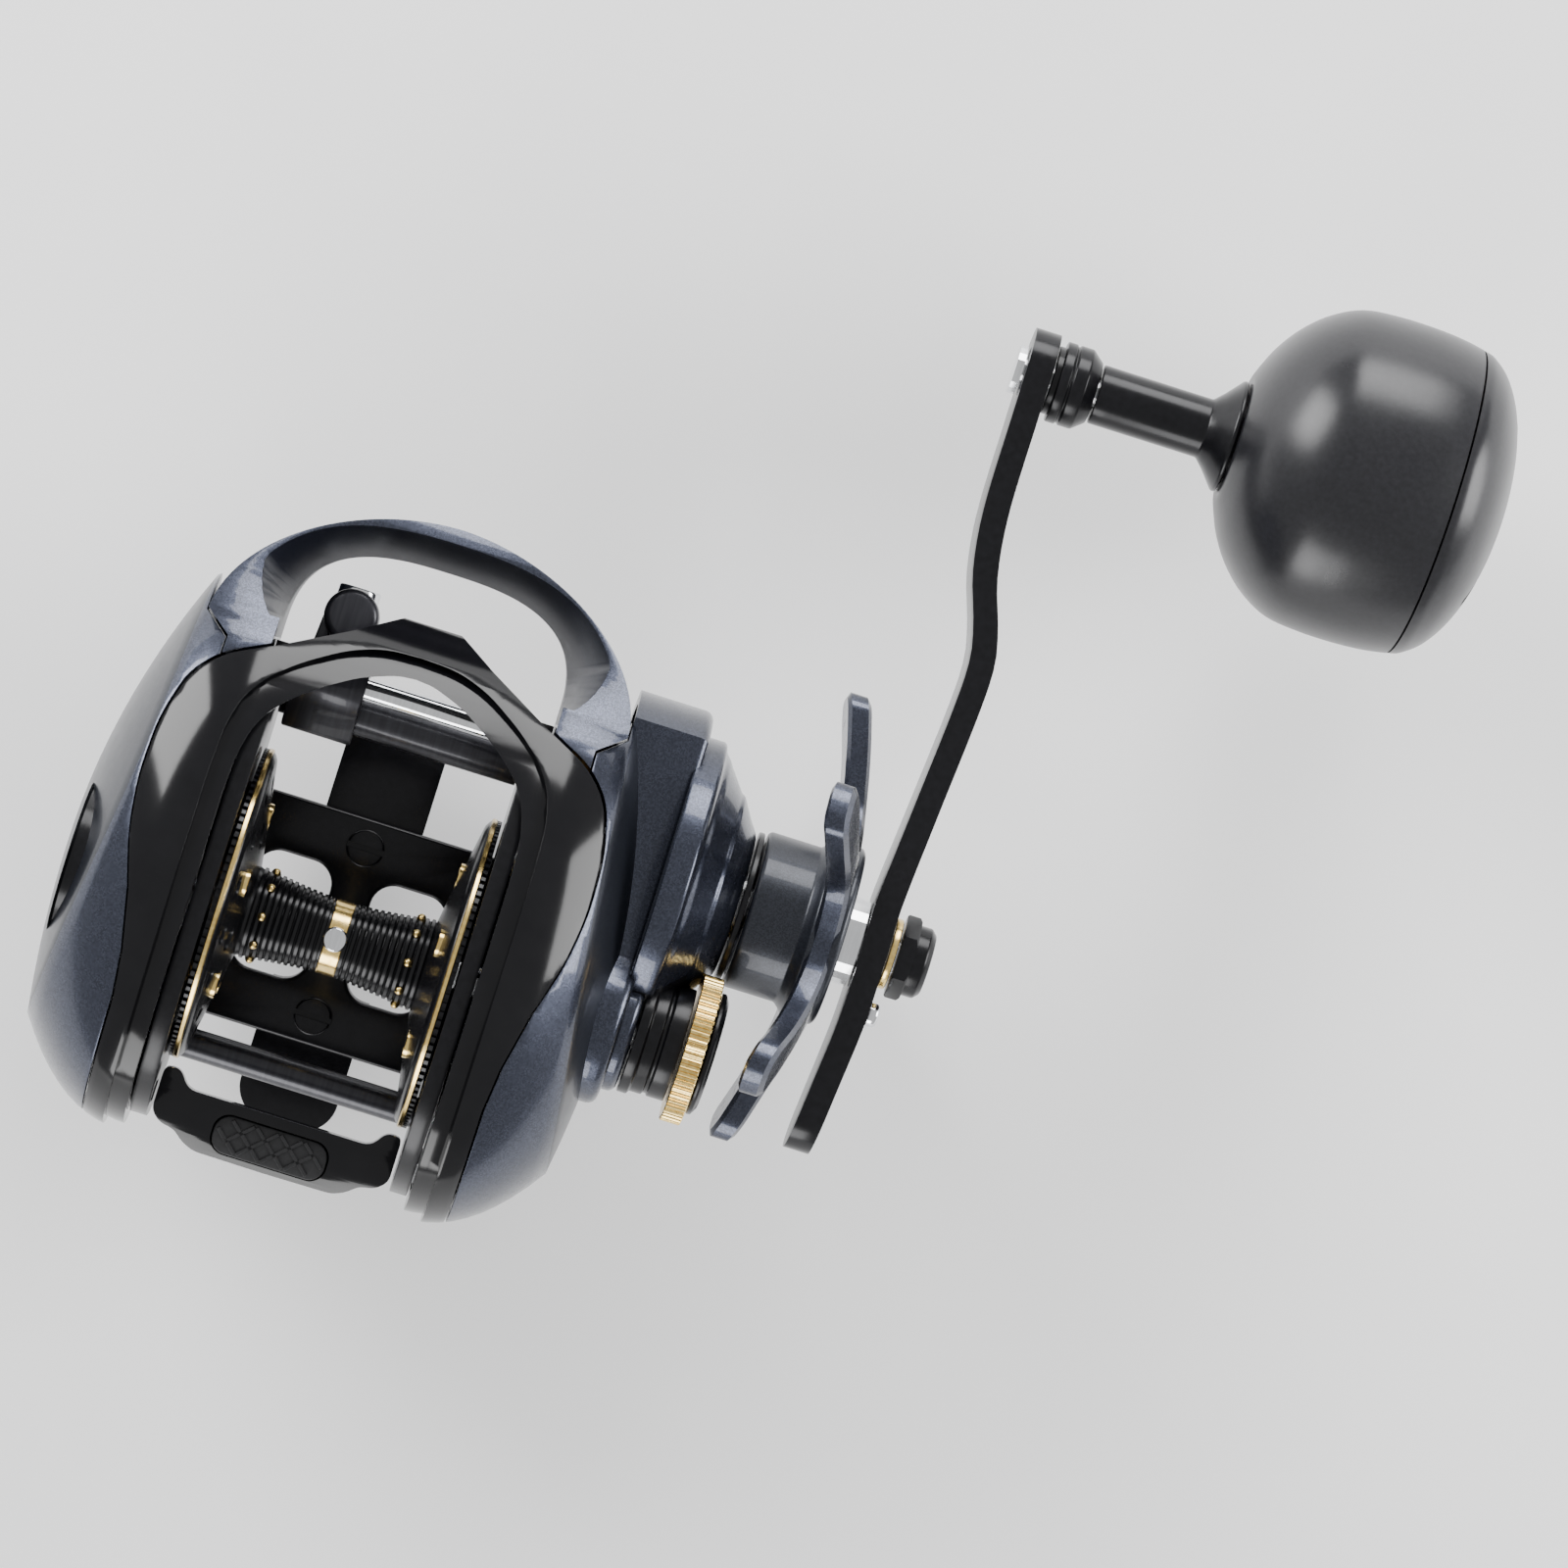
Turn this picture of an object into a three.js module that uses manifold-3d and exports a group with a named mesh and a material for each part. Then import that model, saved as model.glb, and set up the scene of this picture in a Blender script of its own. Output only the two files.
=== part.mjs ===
// Baitcasting reel, right-handed, in millimetres.
// +X points to the handle side, +Y towards the rod tip and +Z up. The origin is on the
// bottom face of the foot, straight below the middle of the spool.
import * as THREE from 'three';
import { ParametricGeometry } from 'three/addons/geometries/ParametricGeometry.js';
import { mergeVertices } from 'three/addons/utils/BufferGeometryUtils.js';
import Module from 'manifold-3d';

const wasm = await Module();
wasm.setup();

// ---------------------------------------------------------------- clearances
const seamGap = 0.3; // between pieces that touch
const fitGap = 0.2; // radial, round a shaft that carries a fixed piece
const runGap = 0.3; // beside anything that turns or slides
const cutOver = 1; // how far a cutter runs past the face it cuts

// ---------------------------------------------------------------- spool and frame
const spoolRadius = 21.5;
const spoolRimX = 15.8; // from the centre plane to each rim
const rimBand = 0.7; // serrated band outside each rim
const rimThickness = 1.2;
const arborEndRadius = 6.3;
const arborWaistRadius = 5.1;
const arborHalf = 11.8;
const spoolShaftRadius = 2;
const linePinRadius = 1.7;
const footThickness = 3;
const footTipThickness = 1.3;
const footHalfWidth = 6.9;
const footRearY = -28;
const footFrontY = 33;
const footPadHalf = 15; // half length of the full-thickness middle of the foot
const footScrewY = 12;
const floorThickness = 2.6;
const floorHalfLength = 16;
const floorSpineHalf = 2.9;
const floorWindowHalf = 8.3;
const floorWindowWall = 3.4; // floor left beside each side wall
const spoolFloorGap = 1.4;
const spoolWallGap = 0.4;
const spoolHoleGap = 0.6; // round the rim, in the palm side wall
const wallThickness = 2.3;
const wallRimWidth = 5; // frame ring outside the spool hole, rearwards
const rearBarRadius = 2.1;
const axisZ = footThickness + floorThickness + spoolFloorGap + spoolRadius;
const wallInner = spoolRimX + rimBand + spoolWallGap;
const wallOuter = wallInner + wallThickness;

// ---------------------------------------------------------------- body shell
const bodyHalfWidth = 38;
const rearRoom = 11.5; // spool rim to the back of the shell
const frontRoom = 23.5; // spool rim to the front of the side covers
const topRoom = 3.6; // spool rim to the crown
const bodyBottom = -2;
const bodyRear = -(spoolRadius + rearRoom);
const bodyFront = spoolRadius + frontRoom;
const bodyTop = axisZ + spoolRadius + topRoom;
const crownY = 2;
const noseZ = 24;
const frontRoundness = 2;
const rearRoundness = 2.5;
const shellWall = 2;
const shoulderX = wallOuter + seamGap; // the shell is straight up to here
const creaseX = bodyHalfWidth - 5.2; // crease between bevel and outer face
const creaseSweep = 3.3; // the crease runs inwards at the front by this much
const creaseScale = 0.8;
const creaseScaleSweep = 0.12;

// ---------------------------------------------------------------- hood, cowl
const legHalf = shoulderX + 5.5; // outer edge of the hood's legs at the back
const hoodHalf = legHalf + 5.4; // widest half-width of the hood
const hoodApexY = 45;
const hoodOpeningFrontY = 36;
const hoodLegFootZ = 6;
const cowlHalf = shoulderX + 9.3;
const cowlFrontY = 56.8;
const cowlRootY = 37; // where the arch meets its side roots
const cowlRootHalf = cowlHalf - 3.6; // half width over the roots
const cowlRootStep = 2.8; // the roots widen to the arch over this length
const cowlBandFront = 5.9; // depth of the arch at the front
const cowlBandSide = 9.3; // width of each root
const cowlFrontTopZ = 32;
const cowlFrontBottomZ = 23;
const cowlRootBottomZ = 8;
const cowlBackY = 31;

// ---------------------------------------------------------------- gears
const gearModule = 0.7;
const mainTeeth = 51;
const pinionTeeth = 10;
const guideModule = 0.6;
const guideTeeth = 16;
const pressureAngle = THREE.MathUtils.degToRad(25);
const backlash = 0.16;
const gearSpacing = (gearModule * (mainTeeth + pinionTeeth)) / 2;
const gearRoomRadius = (gearModule * mainTeeth) / 2 + 0.8 * gearModule + 0.6;
const guideSpacing = (guideModule * (guideTeeth + guideTeeth)) / 2;
const shaftY = 20; // drive shaft, forward of the spool axis
const shaftZ = axisZ - Math.sqrt(gearSpacing ** 2 - shaftY ** 2);
const wormRise = 0.5;
const wormY = shaftY + Math.sqrt(guideSpacing ** 2 - wormRise ** 2);
const wormZ = shaftZ + wormRise;
const driveShaftRadius = 3;
const guideGearX = wallOuter + 0.5;
const guideGearWidth = 2;
const mainGearX = guideGearX + guideGearWidth + 0.8;
const mainGearWidth = 3;
const pinionBore = spoolShaftRadius + runGap;
const pinionX = mainGearX - 0.6;
const pinionToothWidth = 5.6;
const pinionNeckWidth = 1.8;
const pinionNeckRadius = 2.9;
const pinionFlangeRadius = 4;
const pinionTailX = bodyHalfWidth - 4.6;
const clutchTravel = 1.5;
const dragRadius = 14;
const dragWasherThickness = 0.9;
const yokeThickness = 1.1;
const yokePostZ = 8.5;
const yokePostRadius = 1.1;

// ---------------------------------------------------------------- line guide
const guardRadius = 3.2;
const guardWall = 0.5;
const guardSlot = 1.9;
const wormRadius = 2.3;
const guideRodRadius = 1.6;
const guideRodForward = 3.2; // from the worm axis
const guideRodRise = 6.6;
const guideRestX = -10.9; // carriage centre at rest, at the palm end
const carriageHalf = 4.8;
const eyeY = 41.5;
const eyeZ = wormZ + 1;
const eyePostRadius = 3.7;
const eyeRadius = 2.9;
const eyeInner = 2.1;
const linePort = 2.3; // half width of the line's way through the carriage
const pawlRadius = 1.2;

// ---------------------------------------------------------------- handle side
const bearingRadius = 5;
const clutchRadius = 8.4;
const humpRadius = 23.8;
const humpOuterX = bodyHalfWidth + 1.5;
const humpTailRadius = 11;
const stepRadius = 20.5;
const stepOuterX = humpOuterX + 3.1;
const noseX = stepOuterX + 7.1;
const noseRadius = clutchRadius + 1.4;
const humpWall = 2;
const humpBevel = 1.6;
const gearRoomWall = 1.6;
const clutchLength = 5.5;
const bossOuterX = humpOuterX + 1.9;
const barrelRadius = bearingRadius + 2.75;
const bossRadius = barrelRadius + 0.85;
const barrelLip = 0.5;
const barrelEndX = bossOuterX + 6.6;
const bearingWidth = 2.5;
const castKnobRadius = 10.2;
const castKnobWidth = 2.8;
const castCapRadius = 8.4;
const castCapEndX = barrelEndX + 4.6;
const knurlTeeth = 30;
const starRadius = 33;
const starArms = 5;
const starSweep = 4.4;
const starThickness = 3.4;
const starHubRadius = 12;
const sleeveRadius = 10.9;
const sleeveWall = 1.6;
const sleeveX = noseX + 1.5;
const starX = sleeveX + 9;
const armThickness = 3.5;
const armHubX = starX + 7.2; // inner face of the handle arm at the drive shaft
const armTailLength = 29.1;
const armLength = 80.3; // drive shaft to knob axis
const armHubWidth = 14;
const armEndWidth = 11.5;
const armEndMargin = 6.1;
const nutRadius = 5.5;
const nutEndX = armHubX + 9.6;
const washerRadius = 4.9;
const lockScrewOffset = 8.6;

// ---------------------------------------------------------------- knob
const knobY = shaftY + armLength;
const knobRadius = 22.5;
const knobStartX = armHubX + 27.3;
const knobSeamX = knobStartX + 28.7;
const knobEndX = knobSeamX + 9.4;
const knobCapRadius = knobRadius - 0.8;
const spindleRadius = 2;
const collarRadius = 5.6;
const stemRadius = 4.1;
const coneRadius = 7.75;
const stemStartX = armHubX + 8.1;
const coneStartX = knobStartX - 3.8;
const coreRadius = 6.4;
const coreInner = coreRadius - 1.5;
const coreEndX = knobSeamX - 3.4;

// ---------------------------------------------------------------- thumb bar, dial
const thumbTravel = 4.5;
const thumbHalf = wallInner - 0.5;
const thumbFrontY = -(spoolRadius + 3.3);
const thumbBackY = -(spoolRadius + 11.1);
const thumbSideY = -(spoolRadius + 1.1);
const thumbTopZ = axisZ + 5;
const thumbThickness = 5;
const camTabHalf = 1.2; // the bar's tab goes through a window in the wall
const camTabY = thumbSideY - 4;
const camTabZ = thumbTopZ - thumbThickness / 2;
const padHalf = 7.8;
const padHalfDepth = 2.6;
const dialRadius = 10;
const dialDepth = 3.2;
const dialRise = 5; // dial axis above the spool axis

// ================================================================ solids
// Turns a closed three.js geometry into a solid, the right way out.
function solid(geometry) {
  const bare = geometry.clone();
  bare.deleteAttribute('normal');
  bare.deleteAttribute('uv');
  const merged = mergeVertices(bare, 1e-4);
  const corners = [];
  for (let i = 0; i < merged.index.count; i += 3) {
    const [a, b, c] = [0, 1, 2].map((k) => merged.index.getX(i + k));
    if (a !== b && b !== c && c !== a) corners.push(a, b, c);
  }
  const build = () =>
    new wasm.Manifold(
      new wasm.Mesh({
        numProp: 3,
        vertProperties: new Float32Array(merged.attributes.position.array),
        triVerts: new Uint32Array(corners),
      }),
    );
  const body = build();
  if (body.volume() > 0) return body;
  for (let i = 0; i < corners.length; i += 3) {
    [corners[i + 1], corners[i + 2]] = [corners[i + 2], corners[i + 1]];
  }
  return build();
}

// The solid's surface as a three.js geometry.
function surface(body) {
  const mesh = body.getMesh();
  const geometry = new THREE.BufferGeometry();
  const positions = new Float32Array(mesh.numVert * 3);
  for (let i = 0; i < mesh.numVert; i += 1) {
    positions.set(mesh.vertProperties.slice(i * mesh.numProp, i * mesh.numProp + 3), i * 3);
  }
  geometry.setAttribute('position', new THREE.BufferAttribute(positions, 3));
  geometry.setIndex(new THREE.BufferAttribute(new Uint32Array(mesh.triVerts), 1));
  const flat = geometry.toNonIndexed();
  flat.computeVertexNormals();
  return flat;
}

function joined(...bodies) {
  return bodies.reduce((whole, body) => whole.add(body));
}

function box(x0, x1, y0, y1, z0, z1) {
  const block = new THREE.BoxGeometry(x1 - x0, y1 - y0, z1 - z0);
  block.translate((x0 + x1) / 2, (y0 + y1) / 2, (z0 + z1) / 2);
  return solid(block);
}

// A turned piece along X: profile points are [x, radius], from axis to axis or closed.
function turned(profile, y, z, segments = 20) {
  const points = profile.map(([x, radius]) => new THREE.Vector2(radius, x));
  const lathe = new THREE.LatheGeometry(points, segments);
  lathe.rotateZ(-Math.PI / 2);
  lathe.translate(0, y, z);
  return solid(lathe);
}

function rod(x0, x1, radius, y, z, segments = 14) {
  return turned([[x0, 0], [x0, radius], [x1, radius], [x1, 0]], y, z, segments);
}

function ring(x0, x1, inner, outer, y, z, segments = 18) {
  const profile = [[x0, inner], [x0, outer], [x1, outer], [x1, inner], [x0, inner]];
  return turned(profile, y, z, segments);
}

// A flat outline in (y, z) extruded along X.
function plateX(shape, x0, x1) {
  const plate = new THREE.ExtrudeGeometry(shape, { depth: x1 - x0, bevelEnabled: false });
  const cycle = new THREE.Matrix4().set(0, 0, 1, x0, 1, 0, 0, 0, 0, 1, 0, 0, 0, 0, 0, 1);
  plate.applyMatrix4(cycle);
  return solid(plate);
}

// A flat outline in (x, y) extruded along Z.
function plateZ(shape, z0, z1) {
  const plate = new THREE.ExtrudeGeometry(shape, { depth: z1 - z0, bevelEnabled: false });
  plate.translate(0, 0, z0);
  return solid(plate);
}

function polygon(points) {
  return new THREE.Shape(points.map(([a, b]) => new THREE.Vector2(a, b)));
}

// A half outline and its mirror image across the centre plane.
function mirrored(points) {
  const others = points.filter(([a]) => a !== 0).map(([a, b]) => [-a, b]);
  return [...points, ...others.reverse()];
}

// Corner points of a rounded rectangle.
function roundedBox(cx, cy, halfX, halfY, radius, steps = 3) {
  const points = [];
  for (let corner = 0; corner < 4; corner += 1) {
    const sx = corner === 0 || corner === 3 ? 1 : -1;
    const sy = corner < 2 ? 1 : -1;
    for (let i = 0; i <= steps; i += 1) {
      const angle = ((corner + i / steps) * Math.PI) / 2;
      points.push([
        cx + sx * (halfX - radius) + radius * Math.cos(angle),
        cy + sy * (halfY - radius) + radius * Math.sin(angle),
      ]);
    }
  }
  return points;
}

function circlePoints(cy, cz, radius, from, to, steps) {
  return Array.from({ length: steps + 1 }, (_, i) => {
    const angle = from + ((to - from) * i) / steps;
    return [cy + radius * Math.cos(angle), cz + radius * Math.sin(angle)];
  });
}

// ================================================================ body shell
// Radius of the side outline from its centre at a polar angle: 0 is forward, 90 degrees up.
function outlineRadius(angle) {
  const c = Math.cos(angle);
  const s = Math.sin(angle);
  const reachY = c >= 0 ? bodyFront - crownY : crownY - bodyRear;
  const reachZ = s >= 0 ? bodyTop - noseZ : noseZ - bodyBottom;
  const power = c >= 0 ? frontRoundness : rearRoundness;
  return (Math.abs(c / reachY) ** power + Math.abs(s / reachZ) ** power) ** (-1 / power);
}

const bevelRows = 2;
const domeRows = 3;
const sideRows = bevelRows + domeRows;
const turnSteps = 30;
const insideSteps = 20;

// A point of the shell. Rows count outwards from the shoulder, to the pole of that side.
function bodyPoint(angle, row, inset) {
  const forward = Math.cos(angle);
  const crease = creaseX - creaseSweep * forward;
  const scaleAtCrease = creaseScale + creaseScaleSweep * forward;
  const bevel = Math.min(1, row / bevelRows);
  const dome = Math.max(0, (row - bevelRows) / domeRows);
  const width = shoulderX + (crease - shoulderX) * bevel;
  const bulge = (bodyHalfWidth - crease) * (1 - (1 - dome) ** 2);
  const scale = (1 - (1 - scaleAtCrease) * bevel ** 2.2) * (1 - dome);
  const radius = (outlineRadius(angle) - inset) * scale;
  const x = ((width + bulge) * (bodyHalfWidth - inset)) / bodyHalfWidth;
  return [x, crownY + radius * forward, noseZ + radius * Math.sin(angle)];
}

// The body as one solid. The inside of the shell takes fewer steps round.
function bodySolid(inset) {
  const rows = 2 * sideRows + 1;
  const steps = inset > 0 ? insideSteps : turnSteps;
  const set = (u, v, target) => {
    const index = Math.round(v * rows);
    const right = index > sideRows;
    const row = right ? index - sideRows - 1 : sideRows - index;
    const [x, y, z] = bodyPoint((u % 1) * Math.PI * 2, row, inset);
    target.set(right ? x : -x, y, z);
  };
  return solid(new ParametricGeometry(set, steps, rows));
}

// The frame walls' outline sits inside the shell.
function wallOutline() {
  const steps = 30;
  const chord = Math.cos(Math.PI / insideSteps);
  return Array.from({ length: steps }, (_, i) => {
    const angle = (i / steps) * Math.PI * 2;
    const radius = (outlineRadius(angle) - shellWall) * chord - seamGap;
    return [crownY + radius * Math.cos(angle), noseZ + radius * Math.sin(angle)];
  });
}

// Half of the hood's plan outline, from the front apex back along the side.
function hoodEdge(grow) {
  const apex = hoodApexY;
  const side = [
    [0, apex],
    [2.6, apex - 0.9],
    [9.4, apex - 5],
    [18, apex - 9.8],
    [hoodHalf - 5.4, apex - 13.3],
    [hoodHalf - 1.6, apex - 17.4],
    [hoodHalf, apex - 24],
    [hoodHalf, apex - 32],
    [hoodHalf - 1.2, apex - 39],
    [hoodHalf - 3.4, apex - 46],
    [legHalf + 0.5, apex - 54],
    [legHalf, apex - 60],
    [legHalf, bodyRear - cutOver],
  ];
  return side.map(([x, y]) => [x === 0 ? 0 : x + grow, y === bodyRear - cutOver ? y : y + grow]);
}

function hoodPlan(grow = 0) {
  return plateZ(polygon(mirrored(hoodEdge(grow))), bodyBottom - cutOver, bodyTop + cutOver);
}

// Half of the opening over the spool.
function hoodOpening(grow = 0) {
  const front = hoodOpeningFrontY + grow;
  const edge = [
    [0, front],
    [3, front - 0.5],
    [7, front - 1.9],
    [shoulderX - 7, front - 5.3],
    [shoulderX - 3.3, front - 8.6],
    [shoulderX - 1.3, front - 11.4],
    [shoulderX, front - 15],
    [shoulderX, bodyRear - 2 * cutOver],
  ];
  return plateZ(polygon(mirrored(edge)), bodyBottom - cutOver, bodyTop + 2 * cutOver);
}

// Everything above the hood's lower edge.
function hoodZone(drop = 0) {
  const line = [
    [bodyRear - 2 * cutOver, hoodLegFootZ - drop],
    [bodyRear + 8, hoodLegFootZ - drop],
    [bodyRear + 17, axisZ + 3.5 - drop],
    [hoodApexY + 6, axisZ + 3.5 - drop],
    [hoodApexY + 6, bodyTop + 3 * cutOver],
    [bodyRear - 2 * cutOver, bodyTop + 3 * cutOver],
  ];
  return plateX(polygon(line), -bodyHalfWidth, bodyHalfWidth);
}

// Plan region of the cowl, up to the covers' front seam.
function cowlZone(grow) {
  const seam = [
    [shoulderX + 1, cowlBackY - grow],
    [cowlRootHalf + grow, cowlBackY - grow],
    [cowlRootHalf + grow, cowlRootY - cowlRootStep - grow],
    [cowlHalf + grow, cowlRootY - grow],
    [cowlHalf + grow, cowlFrontY + cutOver],
  ];
  return plateZ(polygon(mirrored(seam)), bodyBottom - 2 * cutOver, bodyTop + 2 * cutOver);
}

function makeHood(shell) {
  const skin = shell.intersect(hoodPlan()).intersect(hoodZone());
  const band = bodySolid(0)
    .subtract(bodySolid(shellWall * 2))
    .intersect(hoodPlan())
    .intersect(box(-shoulderX, shoulderX, cowlBackY - 1 + seamGap, hoodApexY, axisZ + 3.5, bodyTop));
  return skin.subtract(hoodOpening()).add(band.subtract(hoodOpening()));
}

// The room between the side covers.
function frameRoom() {
  const half = shoulderX + seamGap;
  return box(-half, half, bodyRear - cutOver, cowlFrontY, bodyBottom - cutOver, bodyTop + cutOver);
}

// One side of the shell without the hood, cowl and frame regions.
function coverSkin(shell, side) {
  const hood = hoodPlan(seamGap).intersect(hoodZone(seamGap));
  const x0 = side < 0 ? -bodyHalfWidth - cutOver : 0;
  const far = cowlFrontY + bodyTop;
  const keep = box(x0, x0 + bodyHalfWidth + cutOver, -far, far, -far, far);
  return shell
    .intersect(keep)
    .subtract(hood)
    .subtract(cowlZone(seamGap))
    .subtract(frameRoom());
}

function dialRecessX() {
  return -(creaseX - 0.4);
}

function makePalmCover(shell) {
  const dialZ = axisZ + dialRise;
  const seat = rod(dialRecessX() - 0.2, dialRecessX() + shellWall, dialRadius + 2, 0, dialZ, 32);
  const recess = rod(-bodyHalfWidth - 1, dialRecessX() - 0.6, dialRadius + runGap, 0, dialZ, 32);
  const arbor = rod(-bodyHalfWidth, 0, 2 + fitGap, 0, dialZ, 16);
  const skin = coverSkin(shell, -1);
  const solidBody = bodySolid(0);
  const floor = seat.intersect(solidBody);
  return joined(skin, floor).subtract(recess).subtract(arbor);
}

// Side outline of the gear hump: one round over the main gear, one over the spool axis.
function humpOutline(inset) {
  const big = humpRadius - inset;
  const small = humpTailRadius - inset;
  const lean = Math.atan2(shaftZ - axisZ, shaftY);
  const spread = Math.acos((big - small) / Math.hypot(shaftY, shaftZ - axisZ));
  const front = circlePoints(shaftY, shaftZ, big, lean - spread, lean + spread, 18);
  const back = circlePoints(0, axisZ, small, lean + spread, lean + 2 * Math.PI - spread, 8);
  return polygon([...front, ...back]);
}

// The lumps on the gear side: hump, step, nose, cast control boss and gear bulge.
function gearLumps() {
  const startX = creaseX - 6;
  const step = turned(
    [
      [startX, 0],
      [startX, stepRadius],
      [stepOuterX - 1, stepRadius],
      [stepOuterX, stepRadius - 1.6],
      [noseX - 1.2, noseRadius + 1],
      [noseX, noseRadius],
      [noseX, 0],
    ],
    shaftY,
    shaftZ,
    26,
  );
  return joined(
    plateX(humpOutline(0), startX, humpOuterX - humpBevel),
    plateX(humpOutline(humpBevel), humpOuterX - humpBevel - 0.1, humpOuterX),
    rod(startX, bossOuterX, bossRadius, 0, axisZ, 16),
    rod(shoulderX + seamGap, startX + 1, gearRoomRadius + gearRoomWall, shaftY, shaftZ, 22),
    step,
  );
}

function makeGearCover(shell) {
  const startX = creaseX - 7;
  const hood = hoodPlan(seamGap).intersect(hoodZone(seamGap));
  const lumps = gearLumps()
    .subtract(bodySolid(shellWall))
    .subtract(hood)
    .subtract(cowlZone(seamGap));
  const rooms = joined(
    plateX(humpOutline(humpWall), startX, humpOuterX - humpWall),
    rod(0, startX + 1, gearRoomRadius, shaftY, shaftZ, 22),
    rod(startX, stepOuterX - humpWall, stepRadius - humpWall, shaftY, shaftZ, 18),
    rod(startX, noseX - 1.5, clutchRadius + fitGap, shaftY, shaftZ, 16),
    rod(startX, noseX + cutOver, driveShaftRadius + 2.6, shaftY, shaftZ, 16),
    rod(startX, bossOuterX + cutOver, bearingRadius + 0.6, 0, axisZ, 16),
    rod(bossOuterX, noseX, barrelRadius + barrelLip + runGap, 0, axisZ, 18),
  );
  return joined(coverSkin(shell, 1), lumps).subtract(rooms);
}

// ================================================================ frame
// The two windows that go through both the floor and the foot, beside the spine.
function floorWindows() {
  const windowHalf = (wallInner - floorWindowWall - floorSpineHalf) / 2;
  const windows = [-1, 1].map((side) => {
    const centre = side * (floorSpineHalf + windowHalf);
    const points = roundedBox(centre, 0, windowHalf, floorWindowHalf, 3);
    return plateZ(polygon(points), -cutOver, footThickness + floorThickness + cutOver);
  });
  return joined(...windows);
}

function makeFrame() {
  const outline = wallOutline();
  const spoolRoom = rod(-wallOuter - 1, wallInner - 0.1, spoolRadius + spoolHoleGap, 0, axisZ, 28);
  const pinionHole = rod(wallInner - 1, wallOuter + 1, pinionFlangeRadius + runGap, 0, axisZ, 16);
  const far = bodyTop + cowlFrontY;
  const frontCut = box(-far, far, cowlBackY - 1, far, -far, far);
  const thumbWindow = box(
    -wallOuter - 1,
    wallOuter + 1,
    camTabY - camTabHalf - runGap,
    camTabY + camTabHalf + runGap,
    camTabZ - camTabHalf - thumbTravel - 2 * runGap,
    camTabZ + camTabHalf + runGap,
  );
  const walls = [-1, 1].map((side) => {
    const x0 = side < 0 ? -wallOuter : wallInner;
    return plateX(polygon(outline), x0, x0 + wallThickness);
  });
  const frontPosts = [-1, 1].map((side) => {
    const x0 = side < 0 ? -wallOuter : wallInner;
    return box(x0, x0 + wallThickness, cowlBackY - 3, wormY + 6, cowlRootBottomZ, guideTopZ() + 3);
  });
  const hoodRoom = hoodZone(seamGap).subtract(bodySolid(2 * shellWall + seamGap));
  const floor = plateZ(
    polygon([
      [-wallOuter + 0.5, -floorHalfLength],
      [wallOuter - 0.5, -floorHalfLength],
      [wallOuter - 0.5, floorHalfLength],
      [-wallOuter + 0.5, floorHalfLength],
    ]),
    footThickness,
    footThickness + floorThickness,
  );
  const rearBarY = -(spoolRadius - 1.6);
  const rearBarZ = axisZ - Math.sqrt((spoolRadius + rearBarRadius + 0.6) ** 2 - rearBarY ** 2);
  const rearBar = rod(-wallInner - 0.5, wallInner + 0.5, rearBarRadius, rearBarY, rearBarZ, 18);
  const posts = joined(...frontPosts).subtract(hoodRoom);
  const sides = joined(...walls).subtract(frontCut).add(posts);
  const screwHoles = [-footScrewY, footScrewY].map((y) => verticalRod(0, y, 1.6, 0, axisZ));
  const openings = joined(
    rod(wallInner - 1, wallOuter + 1, driveShaftRadius + 3.3, shaftY, shaftZ, 24),
    rod(-wallOuter + 0.8, -wallInner + 1, wormRadius + fitGap, wormY, wormZ, 18),
    rod(wallInner - 1, wallOuter + 1, wormRadius + fitGap, wormY, wormZ, 18),
    spoolRoom,
    pinionHole,
    thumbWindow,
  );
  return joined(sides.subtract(openings), floor, rearBar)
    .subtract(joined(floorWindows(), ...screwHoles, spoolRoom));
}

function guideTopZ() {
  return wormZ + guideRodRise + guideRodRadius;
}

function verticalRod(x, y, radius, z0, z1, segments = 16) {
  const column = new THREE.CylinderGeometry(radius, radius, z1 - z0, segments);
  column.rotateX(Math.PI / 2);
  column.translate(x, y, (z0 + z1) / 2);
  return solid(column);
}

function makeFoot() {
  const top = footThickness - seamGap;
  const side = polygon([
    [footRearY, 0],
    [footFrontY, 0],
    [footFrontY, footTipThickness],
    [footPadHalf + 6, top],
    [-footPadHalf, top],
    [footRearY, footTipThickness],
  ]);
  const halfLength = (footFrontY - footRearY) / 2;
  const centre = (footFrontY + footRearY) / 2;
  const plan = plateZ(polygon(roundedBox(0, centre, footHalfWidth, halfLength, 5, 5)), -1, footThickness);
  const holes = [-footScrewY, footScrewY].map((y) => verticalRod(0, y, 1.6, 0.8, axisZ));
  const body = plateX(side, -footHalfWidth, footHalfWidth).intersect(plan);
  return body.subtract(joined(floorWindows(), ...holes));
}

function makeFootScrew(y) {
  const floorTop = footThickness + floorThickness;
  const shank = verticalRod(0, y, 1.3, 1, floorTop + seamGap + 0.2, 12);
  const head = verticalRod(0, y, 2.6, floorTop + seamGap, floorTop + seamGap + 1.2, 18);
  const slot = box(-3, 3, y - 0.35, y + 0.35, floorTop + seamGap + 0.7, floorTop + 3);
  return shank.add(head).subtract(slot);
}

// ================================================================ cowl
function superArc(halfX, front, power, steps) {
  return Array.from({ length: steps + 1 }, (_, i) => {
    const angle = (i / steps) * Math.PI;
    const c = Math.cos(angle);
    const s = Math.sin(angle);
    const x = halfX * Math.sign(c) * Math.abs(c) ** (2 / power);
    return [x, cowlRootY + (front - cowlRootY) * s ** (2 / power)];
  });
}

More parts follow.
